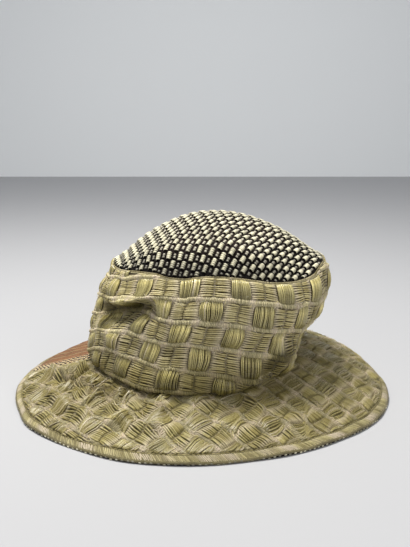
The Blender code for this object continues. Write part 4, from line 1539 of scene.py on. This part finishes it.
def tiles(place, limit, reach, rng, strands, small_strands, sides, K, big_tone, small_tone,
          short=TILE_SHORT, long=TILE_LONG, high=1.0, turn=None, centre=(0.0, 0.0), shade=None):
    """Checkerboard of large and small tiles, each a stack of short arched strands."""
    L, Sx = TILE_L, TILE_S
    if turn is not None:
        L = np.array([math.cos(math.radians(turn)), math.sin(math.radians(turn))])
        Sx = np.array([math.sin(math.radians(turn)), -math.cos(math.radians(turn))])
    nc, nr = int(reach / short) + 1, int(reach / long) + 1
    i, j = np.meshgrid(np.arange(-nc, nc + 1), np.arange(-nr, nr + 1), indexing="ij")
    i, j = i.ravel(), j.ravel()
    cs, cl = i * short, j * long
    big = (i + j) % 2 == 0
    parts = []
    for is_big, count, half_s, half_l, rise, tone in (
            (True, strands, short * 0.365, long * 0.435, high, big_tone),
            (False, small_strands, short * 0.20, long * 0.26, high * 0.45, small_tone)):
        pick = big == is_big
        a, b = cs[pick], cl[pick]
        N = len(a)
        k = (np.arange(count) - (count - 1) / 2) * (2 * half_l / count)
        a = np.repeat(a + rng.normal(0, 0.10, N), count)
        b = (b[:, None] + rng.normal(0, 0.10, (N, 1)) + k[None, :] * rng.uniform(0.92, 1.05, (N, 1))).ravel()
        block = np.repeat(rng.uniform(0.88, 1.08, N), count)
        t = np.linspace(-1, 1, K)[None, :]
        s = a[:, None] + t * half_s * rng.uniform(0.9, 1.06, N * count)[:, None]
        l = b[:, None] + 0.10 * rng.standard_normal((N * count, 1)) * (1 - t ** 2)
        x = s * Sx[0] + l * L[0] + centre[0]
        y = s * Sx[1] + l * L[1] + centre[1]
        h = (0.05 + rise * np.sqrt(np.clip(1 - 0.93 * t ** 2, 0, 1))) * MM + 0 * s
        point, normal, share = place(x, y, h)
        ok = limit(x, y, share)
        point, normal, block = point[ok], normal[ok], block[ok]
        mix = rng.uniform(0.86, 1.06, len(point)) * block
        if not is_big:
            # painted light: the small tiles are paler higher up the tip, towards its lit top
            mix = mix * (1 + 0.9 * ease((point[:, K // 2, 2] - 0.130) / 0.02))
        colour = tone * mix[:, None]
        if shade is not None:
            colour = colour * shade(point[:, K // 2])[:, None]
        # painted shade towards the ends of each strand, where it arches down
        edge = (1 - 0.45 * t ** 4)[..., None]
        parts.append(tube_mesh(point, normal, half_l / count * 0.98 * MM, 0.42 * MM, sides,
                               colour[:, None] * edge, taper=0.9))
    return join(parts)


def tip_limit(x, y, share):
    return share[:, share.shape[1] // 2] < 0.999


rng = np.random.default_rng(SEED + 7)
def tip_shade(points):
    """Painted shade on the front facet, darkest at its foot below the ridge; the top is made a little darker too."""
    az = np.degrees(np.arctan2(points[:, 0] - 0.015, -points[:, 1]))
    low = 1 - ease((points[:, 2] - 0.122) / 0.018)
    return (1 - 0.72 * low * bump(angle_gap(az, -8), 46)) * (1 - 0.06 * ease((points[:, 2] - 0.14) / 0.01))


v, f, t = tiles(tip_place, tip_limit, 150, rng, 4, 2, 5, 5, CREAM, DIM_CREAM, high=1.7,
                shade=tip_shade)
tip_tiles = mesh_object("crown_tip_tiles", v, f, [tile_mat], t)

# reverse of the tip
ni, mi = 180, 40
az = (-180 + 2.0 * np.arange(ni))[:, None] + np.zeros((1, mi))
across = np.zeros((ni, 1)) + np.linspace(0, 0.999, mi)[None, :]
points, normals = tip_skin.at(az, across, -1.0 * MM)
verts = np.concatenate([points.reshape(-1, 3), tip_skin.at(np.array([0.0]), np.array([1.0]), -1.0 * MM)[0]])
fan = np.stack([((np.arange(ni) + 1) % ni) * mi + mi - 1, np.arange(ni) * mi + mi - 1,
                np.full(ni, ni * mi)], axis=1)
tone = np.zeros((len(verts), 3)) + BLACK * 1.5
tip_inside = mesh_object("crown_tip_reverse", verts, [grid_faces(ni, mi, True, flip=True), fan],
                         [black_mat], tone)


def tip_inner_place(x, y, height):
    point, normal, share = tip_place(x, y, 0 * height)
    return point - normal * (1.0 * MM + height)[..., None], -normal, share


v, f, t = tiles(tip_inner_place, tip_limit, 150, np.random.default_rng(SEED + 8), 2, 1, 4, 3,
                CREAM * 0.8, DIM_CREAM, high=0.6)
tip_inner_tiles = mesh_object("crown_tip_reverse_tiles", v, f, [tile_mat], t)


# ------------------------------------------------------------ underside of the brim

def under_depth(az, across):
    """Underside's lower face below the brim's middle surface, metres."""
    return -(CLOTH / 2 + GAP + UNDER_CLOTH) * 1.08 - UNDER_CLEAR + 0 * across


nu, mu = 360, 46
az = (-180 + np.arange(nu))[:, None] + np.zeros((1, mu))
across = np.zeros((nu, 1)) + np.linspace(0, 0.965, mu)[None, :]
points, normals = under_base.at(az, across, 0.0)
down = points + np.array([0, 0, 1.0]) * under_depth(az, across)[..., None]
down[..., 2] = np.maximum(down[..., 2], 0.0006)
s, cc = bearing(az[:, :1])
radial = np.stack([s, cc, 0 * s], axis=2)
rim_xyz, rim_n = under_base.at(az[:, -1:], np.ones((nu, 1)), 0.0)
rows = [down]
for back, z in ((SOLE_WIDTH, 0.0004), (0.0030, 0.0001), (0.0010, 0.0001), (0.0002, 0.0005),
                (-0.0001, 0.0012), (0.0002, 0.0019), (0.0016, 0.0022)):
    ring = rim_xyz - radial * back
    ring[..., 2] = z
    rows.append(ring)
points = np.concatenate(rows, axis=1)
tone = np.zeros(points.shape) + BLACK * 1.1
under_cloth = mesh_object("brim_under_ground", points.reshape(-1, 3),
                          [grid_faces(nu, points.shape[1], True)], [black_mat],
                          tone.reshape(-1, 3),
                          np.stack([points[..., 0] / MM, points[..., 1] / MM], axis=2).reshape(-1, 2))
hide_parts("brim_underside")


def under_place(x, y, height):
    """A point of the underside's cloth laid flat as a cone's sector, mm."""
    rho = np.hypot(x, y)
    turn = np.arctan2(x, -y) / BRIM_CONE
    r = rho * BRIM_CONE * MM
    az, across = plan_to_brim(r * np.sin(turn), -r * np.cos(turn))
    point, normal = under_base.at(az, np.clip(across, 0, 1), 0.0)
    point = point + np.array([0, 0, 1.0]) * (under_depth(az, across))[..., None]
    point[..., 2] = np.maximum(point[..., 2], 0.0011)
    reach = np.where(np.abs(np.degrees(turn)) < 179.5, across, -1)
    return point - normal * height[..., None], -normal, reach


def under_limit(x, y, reach):
    return ((reach > 0.01) & (reach < 0.955)).all(axis=1)


v, f, t = tiles(under_place, under_limit, 205, np.random.default_rng(SEED + 9), 2, 1, 4, 3,
                CREAM * 0.9, DIM_CREAM, high=0.55, turn=44.0)
under_tiles = mesh_object("brim_under_tiles", v, f, [tile_mat], t)

# tiles that show on the edge of the underside, below the hem
st = np.arange(-180, 180, 1.55)
rng = np.random.default_rng(SEED + 10)
st = st + rng.normal(0, 0.12, len(st))
t3 = np.linspace(-1, 1, 4)[None, :]
a3 = st[:, None] + t3 * 0.34
rim_r = column(BRIM_ROUND, a3, 1, 360)
s, cc = bearing(a3)
pt = np.stack([rim_r * s - MIDDLE_X, rim_r * cc - MIDDLE_Y,
               0.0013 + 0.0005 * rng.uniform(-1, 1, (len(st), 1)) + 0 * a3], axis=2)
nn = np.stack([s, cc, 0 * s], axis=2)
pt = pt + nn * ((0.45 - 0.25 * t3 ** 2) * MM)[..., None]
bunch = 0.5 + 0.5 * np.sin(np.radians(st) * 13 + 1.0) * np.sin(np.radians(st) * 31)
hidden = bump(angle_gap(st, 2), 22)
tone = CREAM * (rng.uniform(0.25, 1.0, len(st)) * (0.6 + 0.6 * bunch) * (1 - 0.6 * hidden))[:, None]
v, f, t = tube_mesh(pt, nn, 0.70 * MM, 0.35 * MM, 5, tone[:, None], taper=0.7)
edge_tiles = mesh_object("brim_under_edge_tiles", v, f, [tile_mat], t)

# binding where the brim's cloths meet the side wall
aa = np.arange(-180, 181, 2.0)[None, :]
s, cc = bearing(aa)
zz = column(BRIM_ROUND, aa, 2, 360)
pt = np.stack([OPEN_SHIFT + (OPEN_RADIUS - 0.0006) * s - MIDDLE_X,
               (OPEN_RADIUS - 0.0006) * cc - MIDDLE_Y, zz - 0.0006], axis=2)
nn = np.stack([-s, -cc, 0 * s], axis=2)
v, f, t = tube_mesh(pt, nn, 4.2 * MM, 1.0 * MM, 8, CORD * 0.7, taper=1.0)
binding = mesh_object("opening_binding", v, f, [cord_mat], t)


# ------------------------------------------------------------ floor, light, camera

def plain(name, colour, rough):
    mat = bpy.data.materials.new(name)
    mat.use_nodes = True
    shader = mat.node_tree.nodes["Principled BSDF"]
    shader.inputs["Base Color"].default_value = (*colour, 1.0)
    shader.inputs["Roughness"].default_value = rough
    shader.inputs["Specular IOR Level"].default_value = 0.2
    return mat


bpy.ops.mesh.primitive_plane_add(size=8.0, location=(0, 1.5, 0))
floor = bpy.context.object
floor.name = "floor"
floor.data.materials.append(plain("pale_floor", srgb(179, 179, 181), 0.8))
bpy.ops.mesh.primitive_plane_add(size=8.0, location=(0, 2.0, 2.0), rotation=(math.pi / 2, 0, 0))
backdrop = bpy.context.object
backdrop.name = "backdrop"
backdrop.data.materials.append(plain("pale_backdrop", srgb(248, 250, 251), 0.9))

world = bpy.data.worlds.new("studio")
bpy.context.scene.world = world
world.use_nodes = True
world.node_tree.nodes["Background"].inputs["Color"].default_value = (*srgb(196, 201, 208), 1.0)
world.node_tree.nodes["Background"].inputs["Strength"].default_value = 0.43


def area_light(name, location, target, size, power, colour=(1, 1, 1)):
    data = bpy.data.lights.new(name, "AREA")
    data.shape = "DISK"
    data.size = size
    data.energy = power
    data.color = colour
    lamp = bpy.data.objects.new(name, data)
    lamp.location = location
    aim = Vector(target) - Vector(location)
    lamp.rotation_euler = aim.to_track_quat("-Z", "Y").to_euler()
    bpy.context.scene.collection.objects.link(lamp)
    return lamp


area_light("key", (-0.26, 0.08, 1.35), (0, 0, 0.06), 0.50, 25.5, (1.0, 0.985, 0.95))
area_light("fill_left", (-0.9, -0.9, 0.7), (0, 0, 0.06), 0.9, 1.8, (1.0, 0.98, 0.94))
area_light("fill_right", (0.8, -0.9, 0.8), (0, 0, 0.06), 0.9, 6.0, (1.0, 0.99, 0.97))

area_light("wall_wash", (0.0, 0.6, 1.5), (0, 2.0, 0.35), 1.2, 3.2, (0.98, 0.99, 1.0))

bpy.context.scene.view_settings.view_transform = "Standard"

camera_data = bpy.data.cameras.new("camera")
camera_data.lens = 50.0
camera_data.sensor_fit = "VERTICAL"
camera_data.sensor_height = 36.0
camera_data.sensor_width = 36.0
camera_data.clip_start = 0.01
camera = bpy.data.objects.new("camera", camera_data)
camera.location = (0.00252, -0.67007, 0.25749)
camera.rotation_euler = (math.radians(77.23), 0.0, 0.0)
bpy.context.scene.collection.objects.link(camera)
bpy.context.scene.camera = camera

count = 0
for piece in made:
    tris = sum(len(p.vertices) - 2 for p in piece.data.polygons)
    count += tris
    print("triangles", piece.name, tris)
print("triangles in all", count)
